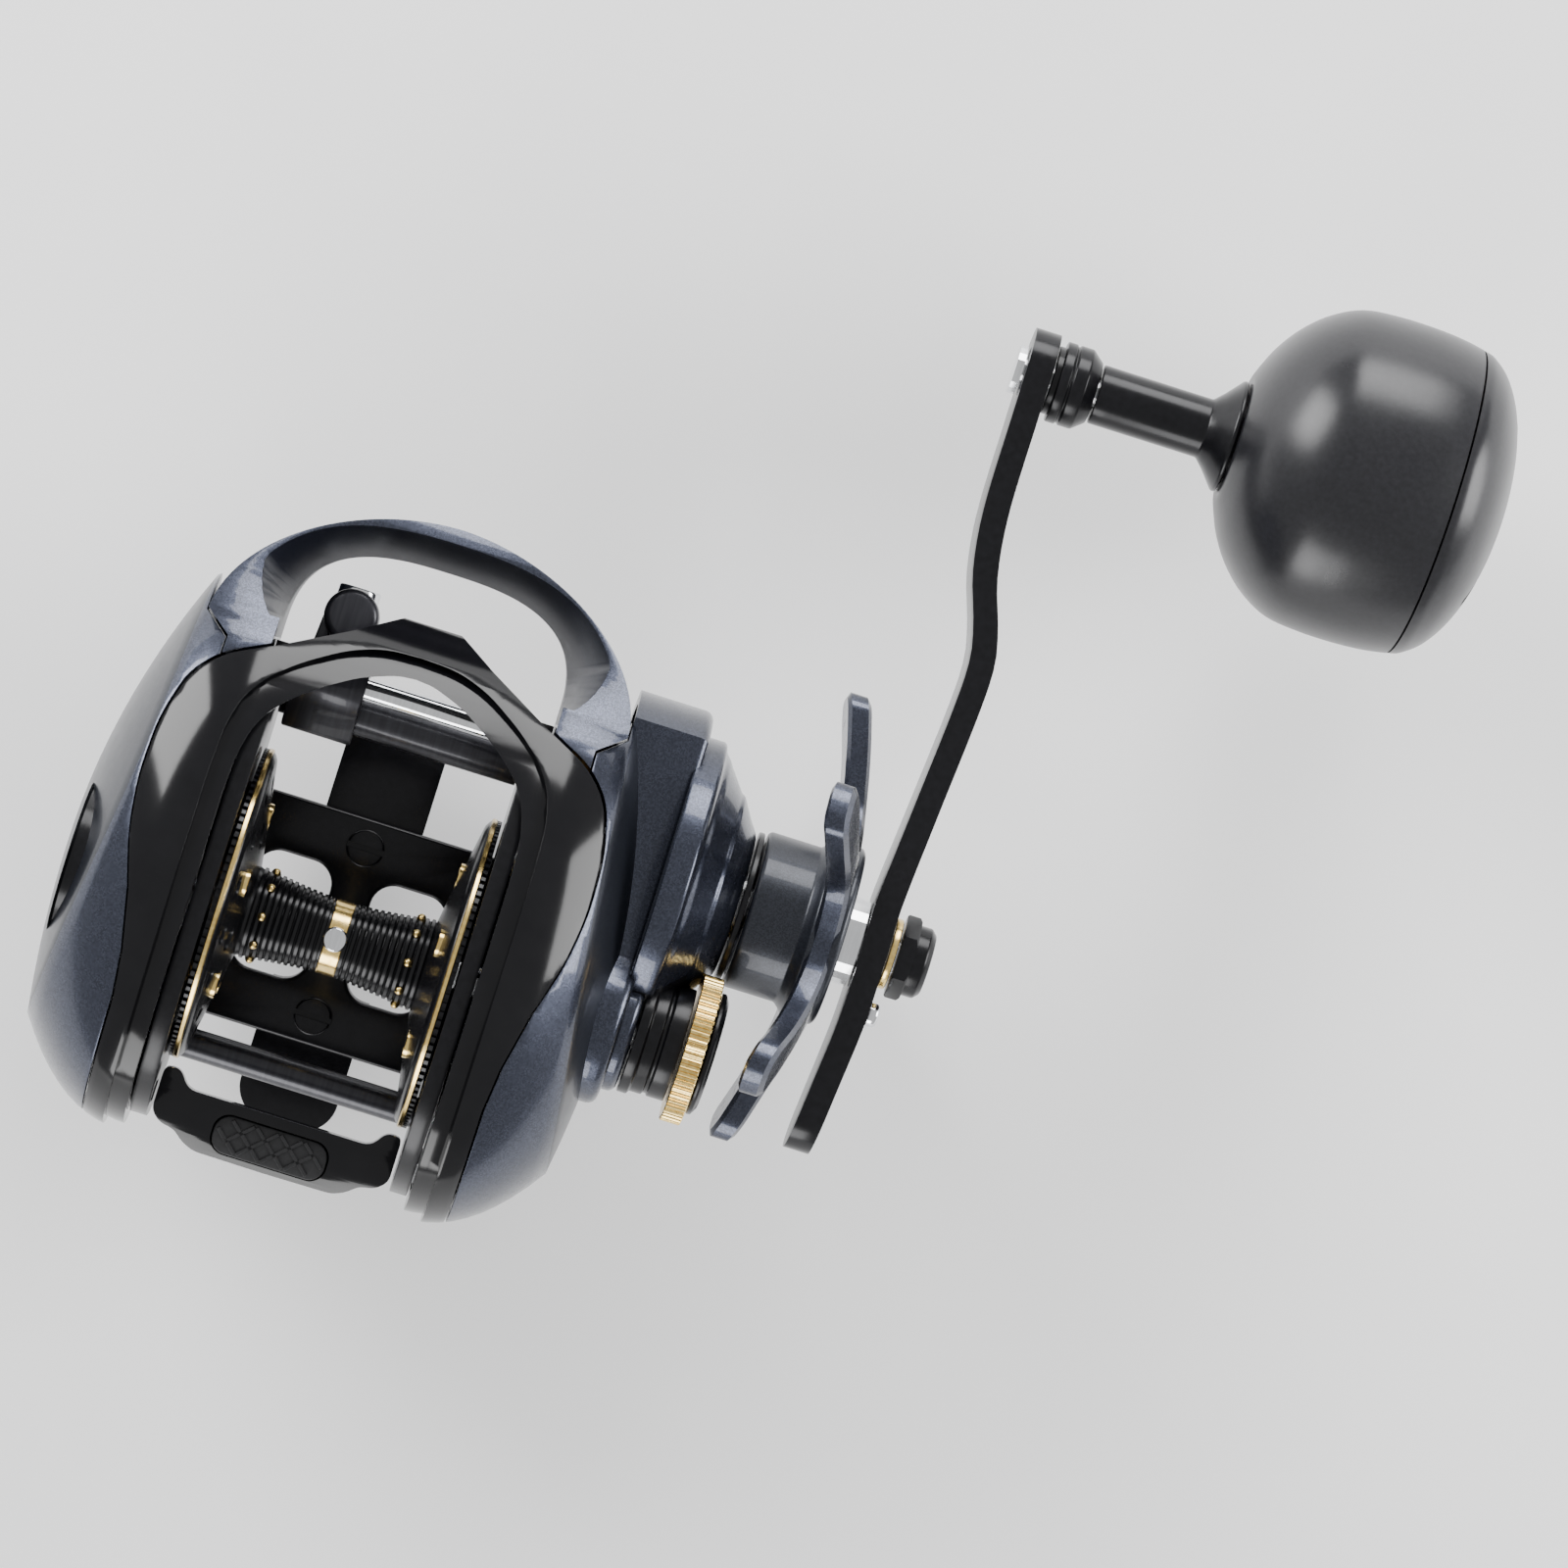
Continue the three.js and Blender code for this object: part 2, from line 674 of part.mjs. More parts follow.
function makeCowl() {
  const outer = superArc(cowlHalf, cowlFrontY, 1.85, 24);
  const inner = superArc(cowlHalf - cowlBandSide, cowlFrontY - cowlBandFront, 2.8, 24).reverse();
  const innerRoot = wallOuter + seamGap;
  const plan = [
    [innerRoot, cowlBackY],
    [cowlRootHalf, cowlBackY],
    [cowlRootHalf, cowlRootY - cowlRootStep],
    ...outer,
    [-cowlRootHalf, cowlRootY - cowlRootStep],
    [-cowlRootHalf, cowlBackY],
    [-innerRoot, cowlBackY],
    ...inner,
  ];
  const rootTop = bodyTop - 10.5;
  const side = [
    [cowlBackY - 1, cowlRootBottomZ],
    [bodyFront - 4, cowlRootBottomZ + 2],
    [bodyFront + 3, cowlFrontBottomZ - 2],
    [cowlFrontY + 1, cowlFrontBottomZ + 2],
    [cowlFrontY + 1, cowlFrontTopZ - 1],
    [cowlFrontY - 1, cowlFrontTopZ],
    [bodyFront + 1, cowlFrontTopZ + 4],
    [cowlRootY, rootTop - 2.5],
    [cowlBackY - 1, rootTop + 1.5],
  ];
  const reach = cowlHalf + cutOver;
  const block = plateZ(polygon(plan), 0, bodyTop).intersect(plateX(polygon(side), -reach, reach));
  const posts = box(-wallOuter - seamGap, wallOuter + seamGap, 0, wormY + 6.3, 0, bodyTop);
  const hood = hoodPlan(seamGap).intersect(hoodZone(seamGap));
  const gearEnd = mainGearX + mainGearWidth + runGap;
  const gearRoom = rod(-gearEnd, gearEnd, gearRoomRadius, shaftY, shaftZ, 30);
  return block.subtract(joined(posts, gearRoom)).subtract(hood);
}

// ================================================================ gears
function involute(angle) {
  return Math.tan(angle) - angle;
}

// Outline of a spur gear with one tooth centred at the phase angle.
function gearPoints(teeth, module, cy, cz, phase, flankSteps = 2) {
  const pitch = (teeth * module) / 2;
  const base = pitch * Math.cos(pressureAngle);
  const tip = pitch + 0.8 * module;
  const root = pitch - 0.95 * module;
  const halfAtPitch = Math.PI / (2 * teeth) - backlash / (2 * pitch);
  const halfAt = (radius) => {
    const local = Math.acos(Math.min(1, base / Math.max(radius, base)));
    return halfAtPitch + involute(pressureAngle) - involute(local);
  };
  const foot = Math.max(base, root + 0.05);
  const radii = flankSteps > 2 ? [root, foot, tip] : [root, tip];
  const points = [];
  for (let tooth = 0; tooth < teeth; tooth += 1) {
    const centre = phase + (tooth * 2 * Math.PI) / teeth;
    const flank = radii.map((radius) => [radius, halfAt(radius)]);
    const rising = flank.map(([radius, half]) => [radius, centre - half]);
    const falling = flank.map(([radius, half]) => [radius, centre + half]).reverse();
    [...rising, ...falling].forEach(([radius, angle]) => {
      points.push([cy + radius * Math.cos(angle), cz + radius * Math.sin(angle)]);
    });
  }
  return polygon(points);
}

function spurGear(teeth, module, y, z, phase, x0, x1, bore) {
  const blank = plateX(gearPoints(teeth, module, y, z, phase), x0, x1);
  return blank.subtract(rod(x0 - 1, x1 + 1, bore, y, z));
}

const meshAngle = Math.atan2(axisZ - shaftZ, -shaftY);
const guideMeshAngle = Math.atan2(wormZ - shaftZ, wormY - shaftY);

function makeWormGear() {
  const phase = guideMeshAngle + Math.PI + Math.PI / guideTeeth;
  const x1 = guideGearX + guideGearWidth;
  return spurGear(guideTeeth, guideModule, wormY, wormZ, phase, guideGearX, x1, 1.5 + fitGap);
}

function makeGuideDriveGear() {
  const x1 = guideGearX + guideGearWidth;
  const bore = driveShaftRadius + fitGap;
  return spurGear(guideTeeth, guideModule, shaftY, shaftZ, guideMeshAngle, guideGearX, x1, bore);
}

function makeMainGear() {
  const bore = driveShaftRadius + fitGap;
  const x1 = mainGearX + mainGearWidth;
  return spurGear(mainTeeth, gearModule, shaftY, shaftZ, meshAngle, mainGearX, x1, bore);
}

function makePinion() {
  const phase = meshAngle + Math.PI + Math.PI / pinionTeeth;
  const toothEnd = pinionX + pinionToothWidth;
  const teeth = plateX(gearPoints(pinionTeeth, gearModule, 0, axisZ, phase, 4), pinionX, toothEnd);
  const neckEnd = toothEnd + pinionNeckWidth;
  const tail = turned(
    [
      [toothEnd - 0.5, 0],
      [toothEnd - 0.5, pinionNeckRadius],
      [neckEnd, pinionNeckRadius],
      [neckEnd, pinionFlangeRadius],
      [neckEnd + 1, pinionFlangeRadius],
      [neckEnd + 1, pinionNeckRadius],
      [pinionTailX, pinionNeckRadius],
      [pinionTailX, 0],
    ],
    0,
    axisZ,
    14,
  );
  return teeth.add(tail).subtract(rod(pinionX - 1, pinionTailX + 1, pinionBore, 0, axisZ));
}

function makeYoke() {
  const x0 = pinionX + pinionToothWidth + (pinionNeckWidth - yokeThickness) / 2;
  const plate = plateX(
    polygon(roundedBox(-1.5, axisZ, 4.2, yokePostZ + 2, 2)),
    x0,
    x0 + yokeThickness,
  );
  const neck = rod(x0 - 1, x0 + 2, pinionNeckRadius + runGap, 0, axisZ);
  const reach = pinionNeckRadius + runGap;
  const mouth = box(x0 - 1, x0 + 2, 0, 8, axisZ - reach, axisZ + reach);
  const posts = [-1, 1].map((side) =>
    rod(x0 - 1, x0 + 2, yokePostRadius + runGap, -2, axisZ + side * yokePostZ, 14),
  );
  return plate.subtract(joined(neck, mouth, ...posts));
}

function makeYokePost(side) {
  const head = pinionTailX - 0.6;
  const z = axisZ + side * yokePostZ;
  return joined(
    rod(pinionX + 2, head, yokePostRadius, -2, z, 14),
    rod(head - 0.8, head, yokePostRadius + 1, -2, z, 14),
  );
}

// ================================================================ spool group
function makeSpool() {
  const bandOut = spoolRimX + rimBand;
  const half = [
    [0, arborWaistRadius],
    [arborHalf, arborEndRadius],
    [arborHalf + 1.2, arborEndRadius + 5],
    [spoolRimX - rimThickness, spoolRadius - 1],
    [spoolRimX - rimThickness * 0.4, spoolRadius],
    [bandOut, spoolRadius],
    [bandOut, spoolRadius - 2.2],
    [arborHalf + 2.6, arborEndRadius + 4.6],
    [arborHalf + 2, spoolShaftRadius + fitGap],
  ];
  const other = half.slice(1).map(([x, r]) => [-x, r]).reverse();
  const profile = [...other, ...half, other[0]];
  const pinHole = verticalRod(0, 0, linePinRadius + fitGap, axisZ, axisZ + 9, 12);
  return turned(profile, 0, axisZ, 26).subtract(pinHole);
}

function makeSpoolBearing(x0) {
  return ring(x0, x0 + bearingWidth, spoolShaftRadius + fitGap, bearingRadius, 0, axisZ, 26);
}

function makeDriveBearing() {
  return ring(wallInner, wallOuter, driveShaftRadius + fitGap, driveShaftRadius + 3, shaftY, shaftZ, 26);
}

function makeLinePin() {
  const top = axisZ + arborWaistRadius + 0.9;
  return verticalRod(0, 0, linePinRadius, axisZ + spoolShaftRadius + seamGap, top, 14);
}

function makeSpoolShaft() {
  const palmEnd = -(wallOuter + 5);
  return turned(
    [
      [palmEnd, 0],
      [palmEnd, spoolShaftRadius],
      [barrelEndX - 2.6, spoolShaftRadius],
      [barrelEndX - 2, spoolShaftRadius - 0.6],
      [barrelEndX - 2, 0],
    ],
    0,
    axisZ,
    20,
  );
}

// Keeps the palm end of the spool shaft and the brake magnets.
function makeBrakeHousing() {
  const x = -(wallOuter + 6);
  return turned(
    [
      [x - 1.6, 0],
      [x - 1.6, 17],
      [x, 17],
      [x, bearingRadius + 1.6],
      [x + 5, bearingRadius + 1.6],
      [x + 5, bearingRadius + fitGap],
      [x + 0.6, bearingRadius + fitGap],
      [x + 0.6, 0],
    ],
    0,
    axisZ,
    32,
  );
}

// ================================================================ line guide group
function makeGuard() {
  const end = wallInner - seamGap;
  const tube = ring(-end, end, guardRadius - guardWall, guardRadius, wormY, wormZ, 24);
  const slotEnd = end - 1.6;
  const half = guardSlot / 2;
  return tube.subtract(box(-slotEnd, slotEnd, wormY - half, wormY + half, wormZ - 6, wormZ));
}

function makeGuideRod() {
  const end = wallInner - seamGap;
  return rod(-end, end, guideRodRadius, wormY + guideRodForward, wormZ + guideRodRise, 18);
}

// Helical groove cut into the worm, one sense.
function wormGroove(sense, half) {
  const turns = 3;
  const steps = turns * 8;
  const points = Array.from({ length: steps + 1 }, (_, i) => {
    const angle = sense * (i / steps) * turns * Math.PI * 2;
    return new THREE.Vector3(
      -half + (2 * half * i) / steps,
      wormY + wormRadius * Math.cos(angle),
      wormZ + wormRadius * Math.sin(angle),
    );
  });
  const cutter = polygon(circlePoints(0, 0, 0.42, 0, Math.PI * 2, 4).slice(0, 4));
  const path = new THREE.CatmullRomCurve3(points);
  return solid(new THREE.ExtrudeGeometry(cutter, { steps, bevelEnabled: false, extrudePath: path }));
}

function makeWorm() {
  const end = guideGearX + guideGearWidth + 0.6;
  const half = wallInner - 3;
  const shaft = turned(
    [
      [-wallOuter + 1.2, 0],
      [-wallOuter + 1.2, wormRadius],
      [guideGearX - 0.3, wormRadius],
      [guideGearX - 0.3, 1.5],
      [end, 1.5],
      [end, 0],
    ],
    wormY,
    wormZ,
    18,
  );
  return shaft.subtract(wormGroove(1, half));
}

// Side outline of the carriage: it wraps the guard tube and the guide rod.
function carriageSide() {
  const rodY = wormY + guideRodForward;
  const rodZ = wormZ + guideRodRise;
  return polygon([
    [wormY - guardRadius - 1.5, wormZ - 4.6],
    [wormY + guardRadius + 1.2, wormZ - 4.6],
    [wormY + guardRadius + 2.6, wormZ - 2],
    [rodY + guideRodRadius + 1.5, rodZ - 2],
    [rodY + guideRodRadius + 1.5, rodZ + 2.2],
    [rodY - 1.6, rodZ + 3],
    [rodY - 3.6, rodZ + 1.4],
    [wormY - guardRadius - 1.5, wormZ + 2.6],
  ]);
}

function makeCarriage() {
  const x0 = guideRestX - carriageHalf;
  const x1 = guideRestX + carriageHalf;
  const bores = joined(
    rod(x0 - 1, x1 + 1, guardRadius + runGap, wormY, wormZ, 14),
    rod(x0 - 1, x1 + 1, guideRodRadius + runGap, wormY + guideRodForward, wormZ + guideRodRise, 10),
  );
  const rootY = wormY + guardRadius + 0.6;
  const legs = plateZ(
    polygon([
      [x0 + 0.6, rootY],
      [x1 - 0.6, rootY],
      [guideRestX + eyePostRadius, eyeY],
      [guideRestX - eyePostRadius, eyeY],
    ]),
    eyeZ - 2.6,
    eyeZ + 2.6,
  );
  const post = verticalRod(guideRestX, eyeY, eyePostRadius, eyeZ - 4.6, eyeZ + 4.2, 14);
  const dome = verticalRod(guideRestX, eyeY, eyePostRadius - 1, eyeZ + 4, eyeZ + 5.1, 14);
  const port = box(
    guideRestX - linePort,
    guideRestX + linePort,
    wormY - 9,
    eyeY - 1,
    wormZ - 0.6,
    wormZ + guardRadius + runGap + 1.2,
  );
  const eye = eyeTube(eyeRadius + fitGap, 0, eyeY - 6, eyeY + 6);
  const pawlHole = verticalRod(guideRestX, wormY, pawlRadius + fitGap, wormZ - 9, wormZ, 14);
  const body = plateX(carriageSide(), x0, x1).add(legs);
  return body.subtract(joined(bores, port, pawlHole)).add(post).add(dome).subtract(eye);
}

// A tube or plug along Y about the line guide's eye.
function eyeTube(outer, inner, y0, y1) {
  const points = inner > 0
    ? [[inner, y0], [outer, y0], [outer, y1], [inner, y1], [inner, y0]]
    : [[0, y0], [outer, y0], [outer, y1], [0, y1]];
  const lathe = new THREE.LatheGeometry(points.map(([r, y]) => new THREE.Vector2(r, y)), 14);
  lathe.translate(guideRestX, 0, eyeZ);
  return solid(lathe);
}

function makeEyeRing() {
  return eyeTube(eyeRadius, eyeInner, eyeY - eyePostRadius - 0.3, eyeY + eyePostRadius + 0.3);
}

function makePawl() {
  return verticalRod(guideRestX, wormY, pawlRadius, wormZ - 6, wormZ - guardRadius - runGap, 14)
    .add(verticalRod(guideRestX, wormY, 0.6, wormZ - 5, wormZ - wormRadius - runGap, 12));
}

// ================================================================ drive group
function makeDriveShaft() {
  return turned(
    [
      [wallInner + runGap, 0],
      [wallInner + runGap, driveShaftRadius],
      [nutEndX - 1.6, driveShaftRadius],
      [nutEndX - 1.2, driveShaftRadius - 0.5],
      [nutEndX - 1.2, 0],
    ],
    shaftY,
    shaftZ,
    20,
  );
}

const dragStackX = mainGearX + mainGearWidth + 0.4;

// Washers of the drag stack, numbered outwards from the main gear.
function makeDragWasher(index, inset) {
  const pitch = dragWasherThickness + 0.35;
  const x0 = dragStackX + index * pitch;
  const x1 = x0 + dragWasherThickness;
  return ring(x0, x1, driveShaftRadius + fitGap, dragRadius - inset, shaftY, shaftZ, 20);
}

function makeRatchet() {
  const x0 = dragStackX + 4 * (dragWasherThickness + 0.35);
  const teeth = 16;
  const points = [];
  for (let i = 0; i < teeth; i += 1) {
    const angle = (i / teeth) * Math.PI * 2;
    points.push([shaftY + 11 * Math.cos(angle), shaftZ + 11 * Math.sin(angle)]);
    const back = angle + (1.7 * Math.PI) / teeth;
    points.push([shaftY + 9.2 * Math.cos(back), shaftZ + 9.2 * Math.sin(back)]);
  }
  const bore = rod(x0 - 1, x0 + 3, driveShaftRadius + fitGap, shaftY, shaftZ);
  return plateX(polygon(points), x0, x0 + 1.4).subtract(bore);
}

function clutchX() {
  return noseX - 1.8 - clutchLength;
}

function makeOneWayClutch() {
  const x0 = clutchX();
  return ring(x0, x0 + clutchLength, driveShaftRadius + 2.4, clutchRadius, shaftY, shaftZ, 28);
}

function makeClutchSleeve() {
  const x0 = clutchX() - 1;
  return ring(x0, noseX + 0.6, driveShaftRadius + fitGap, driveShaftRadius + 2, shaftY, shaftZ, 24);
}

function makeNoseRing() {
  return ring(noseX + seamGap, noseX + 1.1, driveShaftRadius + 2.6, noseRadius + 0.6, shaftY, shaftZ, 22);
}

// One arm of the star, as outline points in its own frame, outwards along the first axis.
function starArmEdge() {
  return [
    [starHubRadius - 1.5, -5.2],
    [starHubRadius + 5, -3.1],
    [starRadius - 9, -3.4],
    [starRadius - 3, -4.4],
    [starRadius, -1.6],
    [starRadius - 0.6, 2.6],
    [starRadius - 7, 3.9],
    [starHubRadius + 5, 3.3],
  ];
}

function makeStar() {
  const points = [];
  for (let arm = 0; arm < starArms; arm += 1) {
    const angle = starPhase() + (arm * 2 * Math.PI) / starArms;
    const c = Math.cos(angle);
    const s = Math.sin(angle);
    starArmEdge().forEach(([r, t]) => {
      points.push([shaftY + r * c - t * s, shaftZ + r * s + t * c]);
    });
  }
  const wheel = plateX(polygon(points), 0, starThickness).warp((vertex) => {
    const reach = Math.hypot(vertex[1] - shaftY, vertex[2] - shaftZ);
    const share = Math.max(0, (reach - starHubRadius) / (starRadius - starHubRadius));
    vertex[0] += starX - starSweep * share ** 1.4;
  });
  const hub = rod(starX - 0.6, starX + starThickness + 0.8, starHubRadius, shaftY, shaftZ, 20);
  const sleeve = rod(sleeveX, starX, sleeveRadius, shaftY, shaftZ, 20);
  const inside = rod(sleeveX - 1, starX - 1.6, sleeveRadius - sleeveWall, shaftY, shaftZ, 20);
  const bore = rod(sleeveX - 1, starX + 9, driveShaftRadius + runGap, shaftY, shaftZ, 12);
  return joined(wheel, hub, sleeve).subtract(inside).subtract(bore);
}

function starPhase() {
  return THREE.MathUtils.degToRad(58);
}

function hexPoints(radius) {
  return circlePoints(shaftY, shaftZ, radius, 0, (Math.PI * 5) / 3, 5);
}

function makeStarNut() {
  const x0 = sleeveX + 2.4;
  const bore = rod(x0 - 1, x0 + 5, driveShaftRadius + runGap, shaftY, shaftZ);
  return plateX(polygon(hexPoints(7.6)), x0, x0 + 3.4).subtract(bore);
}

function makeHandleSpacer() {
  const x0 = starX + starThickness + 0.8 + runGap;
  return ring(x0, armHubX - seamGap, driveShaftRadius + fitGap, 6, shaftY, shaftZ, 24);
}

// Inner face of the arm along its length, as [forward of the shaft, x].
function armLine() {
  return [
    [-armTailLength, armHubX - 1.8],
    [-armHubWidth / 2, armHubX],
    [armHubWidth / 2, armHubX],
    [34, armHubX + 2.2],
    [45.5, armHubX + 1.2],
    [52.5, armHubX - 1],
    [61, armHubX - 2],
    [armLength + armEndMargin, armHubX - 2.2],
  ];
}

function armInnerXAtKnob() {
  return armLine().at(-1)[1];
}

function makeArm() {
  const inner = armLine();
  const outer = inner.map(([y, x]) => [y, x + armThickness]).reverse();
  const strip = polygon([...inner, ...outer].map(([y, x]) => [x, y + shaftY]));
  const bent = plateZ(strip, shaftZ - armHubWidth, shaftZ + armHubWidth);
  const end = armLength + armEndMargin;
  const half = armEndWidth / 2;
  const hub = armHubWidth / 2;
  const face = [
    ...circlePoints(end - half, 0, half, -Math.PI / 2, Math.PI / 2, 8),
    [26, half],
    [6, hub],
    [-6, hub],
    [-16, half],
    ...circlePoints(-armTailLength + half, 0, half, Math.PI / 2, (3 * Math.PI) / 2, 8),
    [-16, -half],
    [-6, -hub],
    [6, -hub],
    [26, -half],
  ];
  const outline = polygon(face.map(([y, z]) => [y + shaftY, z + shaftZ]));
  const shaftHole = rod(armHubX - 9, armHubX + 9, driveShaftRadius + fitGap, shaftY, shaftZ);
  const knobHole = rod(armHubX - 9, armHubX + 9, spindleRadius + fitGap, knobY, shaftZ, 16);
  const screwHole = rod(armHubX - 9, armHubX + 9, 1.2, shaftY - lockScrewOffset, shaftZ, 12);
  return bent
    .intersect(plateX(outline, armHubX - 12, armHubX + 12))
    .subtract(joined(shaftHole, knobHole, screwHole));
}

function armOuterX() {
  return armHubX + armThickness;
}

function makeHandleWasher() {
  const x0 = armOuterX() + seamGap;
  return ring(x0, x0 + 1, driveShaftRadius + fitGap, washerRadius, shaftY, shaftZ, 28);
}

function makeNut() {
  const x0 = armOuterX() + 1.6;
  const hex = plateX(polygon(hexPoints(nutRadius + 0.3)), x0, nutEndX - 2.6);
  const crown = turned(
    [
      [x0 + 1, 0],
      [x0 + 1, nutRadius - 0.6],
      [nutEndX - 0.8, nutRadius - 0.6],
      [nutEndX, nutRadius - 1.6],
      [nutEndX, 0],
    ],
    shaftY,
    shaftZ,
    24,
  );
  return hex.add(crown).subtract(rod(x0 - 1, nutEndX - 0.9, driveShaftRadius + fitGap, shaftY, shaftZ));
}

function makeLockScrew() {
  const x0 = armOuterX() + seamGap;
  const y = shaftY - lockScrewOffset;
  const head = rod(x0, x0 + 1.5, 1.7, y, shaftZ, 14);
  const shank = rod(armHubX + 0.4, x0 + 0.5, 0.9, y, shaftZ, 12);
  const slot = box(x0 + 0.9, x0 + 2, y - 2, y + 2, shaftZ - 0.25, shaftZ + 0.25);
  return head.add(shank).subtract(slot);
}

// ================================================================ knob group
function collarX() {
  return armInnerXAtKnob() + armThickness + seamGap;
}

function makeSpindle() {
  const back = armInnerXAtKnob() - seamGap - 1;
  return joined(
    rod(back, back + 1, 3.4, knobY, shaftZ, 20),
    rod(back, coreEndX - 1, spindleRadius, knobY, shaftZ, 16),
    rod(coreEndX - 2.2, coreEndX - 1, 3.2, knobY, shaftZ, 16),
  );
}

function makeCollar() {
  const x0 = collarX();
  const bore = spindleRadius + fitGap;
  return turned(
    [
      [x0, bore],
      [x0, collarRadius - 0.9],
      [x0 + 0.9, collarRadius - 0.9],
      [x0 + 0.9, collarRadius],
      [stemStartX - 1.8, collarRadius],
      [stemStartX - 0.3, stemRadius],
      [stemStartX - 0.3, bore],
      [x0, bore],
    ],
    knobY,
    shaftZ,
    20,
  );
}

function makeStem() {
  const bore = spindleRadius + runGap;
  return turned(
    [
      [stemStartX, bore],
      [stemStartX, stemRadius],
      [coneStartX, stemRadius],
      [knobStartX - 0.4, coneRadius],
      [knobStartX, coreRadius],
      [coreEndX, coreRadius],
      [coreEndX, coreInner],
      [knobStartX + 1, coreInner],
      [knobStartX + 1, bore],
      [stemStartX, bore],
    ],
    knobY,
    shaftZ,
    20,
  );
}

function makeKnobBearing(x0) {
  return ring(x0, x0 + bearingWidth, spindleRadius + fitGap, coreInner - fitGap, knobY, shaftZ, 24);
}

// The round grip, hollow round the stem's core.
function makeGrip() {
  const bore = coreRadius + fitGap;
  const start = knobStartX + seamGap;
  const shoulder = start + 13;
  const profile = [[start, bore], [start, coneRadius + 0.4]];
  const steps = 5;
  for (let i = 1; i <= steps; i += 1) {
    const angle = (i / steps) * (Math.PI / 2);
    const reach = coneRadius + (knobRadius - coneRadius) * Math.sin(angle) ** 0.85;
    profile.push([start + (shoulder - start) * (1 - Math.cos(angle)), reach]);
  }
  profile.push([shoulder + 8, knobRadius], [knobSeamX, knobCapRadius], [knobSeamX, bore], profile[0]);
  return turned(profile, knobY, shaftZ, 26);
}

function makeGripCap() {
  const x0 = knobSeamX + seamGap;
  const slots = [0, 1, 2].map((i) => {
    const angle = (i / 3) * Math.PI * 2 + 0.5;
    const slot = box(knobEndX - 3.4, knobEndX + 1, knobY + 8, knobY + 13.5, shaftZ - 1, shaftZ + 1);
    return slot
      .translate([0, -knobY, -shaftZ])
      .rotate([THREE.MathUtils.radToDeg(angle), 0, 0])
      .translate([0, knobY, shaftZ]);
  });
  return turned(
    [
      [x0, 0],
      [x0, knobCapRadius],
      [x0 + 2, knobCapRadius - 0.9],
      [x0 + 4.2, knobCapRadius - 3.2],
      [x0 + 6.4, knobCapRadius - 7],
      [x0 + 8.2, knobCapRadius - 13],
      [knobEndX, knobCapRadius - 19],
      [knobEndX, 0],
    ],
    knobY,
    shaftZ,
    26,
  ).subtract(joined(...slots));
}

// ================================================================ cast control
function makeBarrel() {
  const x0 = bossOuterX + seamGap;
  return turned(
    [
      [x0, spoolShaftRadius + 1],
      [x0, barrelRadius + barrelLip],
      [x0 + 1.4, barrelRadius + barrelLip],
      [x0 + 1.6, barrelRadius],
      [barrelEndX, barrelRadius],
      [barrelEndX, bearingRadius + fitGap],
      [x0 + 1.2, bearingRadius + fitGap],
      [x0 + 1.2, spoolShaftRadius + 1],
      [x0, spoolShaftRadius + 1],
    ],
    0,
    axisZ,
    20,
  );
}

function makeCastKnob() {
  const x0 = barrelEndX + seamGap;
  const points = [];
  for (let i = 0; i < knurlTeeth; i += 1) {
    const angle = (i / knurlTeeth) * Math.PI * 2;
    const next = angle + Math.PI / knurlTeeth;
    points.push([castKnobRadius * Math.cos(angle), axisZ + castKnobRadius * Math.sin(angle)]);
    points.push([(castKnobRadius - 0.5) * Math.cos(next), axisZ + (castKnobRadius - 0.5) * Math.sin(next)]);
  }
  const hole = rod(x0 - 1, x0 + castKnobWidth + 1, 6.2 + fitGap, 0, axisZ, 24);
  return plateX(polygon(points), x0, x0 + castKnobWidth).subtract(hole);
}

function makeCastCap() {
  const x0 = barrelEndX + seamGap;
  const lip = x0 + castKnobWidth + seamGap;
  return turned(
    [
      [x0 + 0.2, 0],
      [x0 + 0.2, 6.2],
      [lip, 6.2],
      [lip, castCapRadius],
      [castCapEndX - 0.9, castCapRadius],
      [castCapEndX, castCapRadius - 1.2],
      [castCapEndX, 0],
    ],
    0,
    axisZ,
    30,
  );
}

// ================================================================ clutch bar
function makeThumbBar() {
  const z1 = thumbTopZ;
  const z0 = z1 - thumbThickness;
  const plan = mirrored([
    [0, thumbBackY],
    [thumbHalf - 5.4, thumbBackY + 0.7],
    [thumbHalf - 3.8, thumbBackY + 2.2],
    [thumbHalf - 1.6, thumbBackY + 2.4],
    [thumbHalf, thumbBackY + 4],
    [thumbHalf, thumbSideY],
    [thumbHalf - 2.4, thumbSideY],
    [thumbHalf - 4.2, thumbFrontY],
    [0, thumbFrontY],
  ]);
  const side = polygon([
    [thumbBackY - 1, z0],
    [thumbSideY + 1, z0],
    [thumbSideY + 1, z1 - 0.6],
    [thumbFrontY - 1, z1],
    [thumbFrontY - 6, z1 - 1.2],
    [thumbBackY - 1, z1 - 3.4],
  ]);
  const recess = padSolid(0.2, 0);
  const profile = plateX(side, -thumbHalf - cutOver, thumbHalf + cutOver);
  return plateZ(polygon(plan), z0, z1).intersect(profile).subtract(recess);
}

function padCentreY() {
  return thumbFrontY - 4.2;
}

// The rubber pad, or with growth the recess that it sits in.
function padSolid(grow, raise) {
  const points = roundedBox(0, padCentreY(), padHalf + grow, padHalfDepth + grow, 2.2);
  const z = thumbTopZ - 2.4;
  return plateZ(polygon(points), z - grow, z + (raise > 0 ? raise : 6));
}

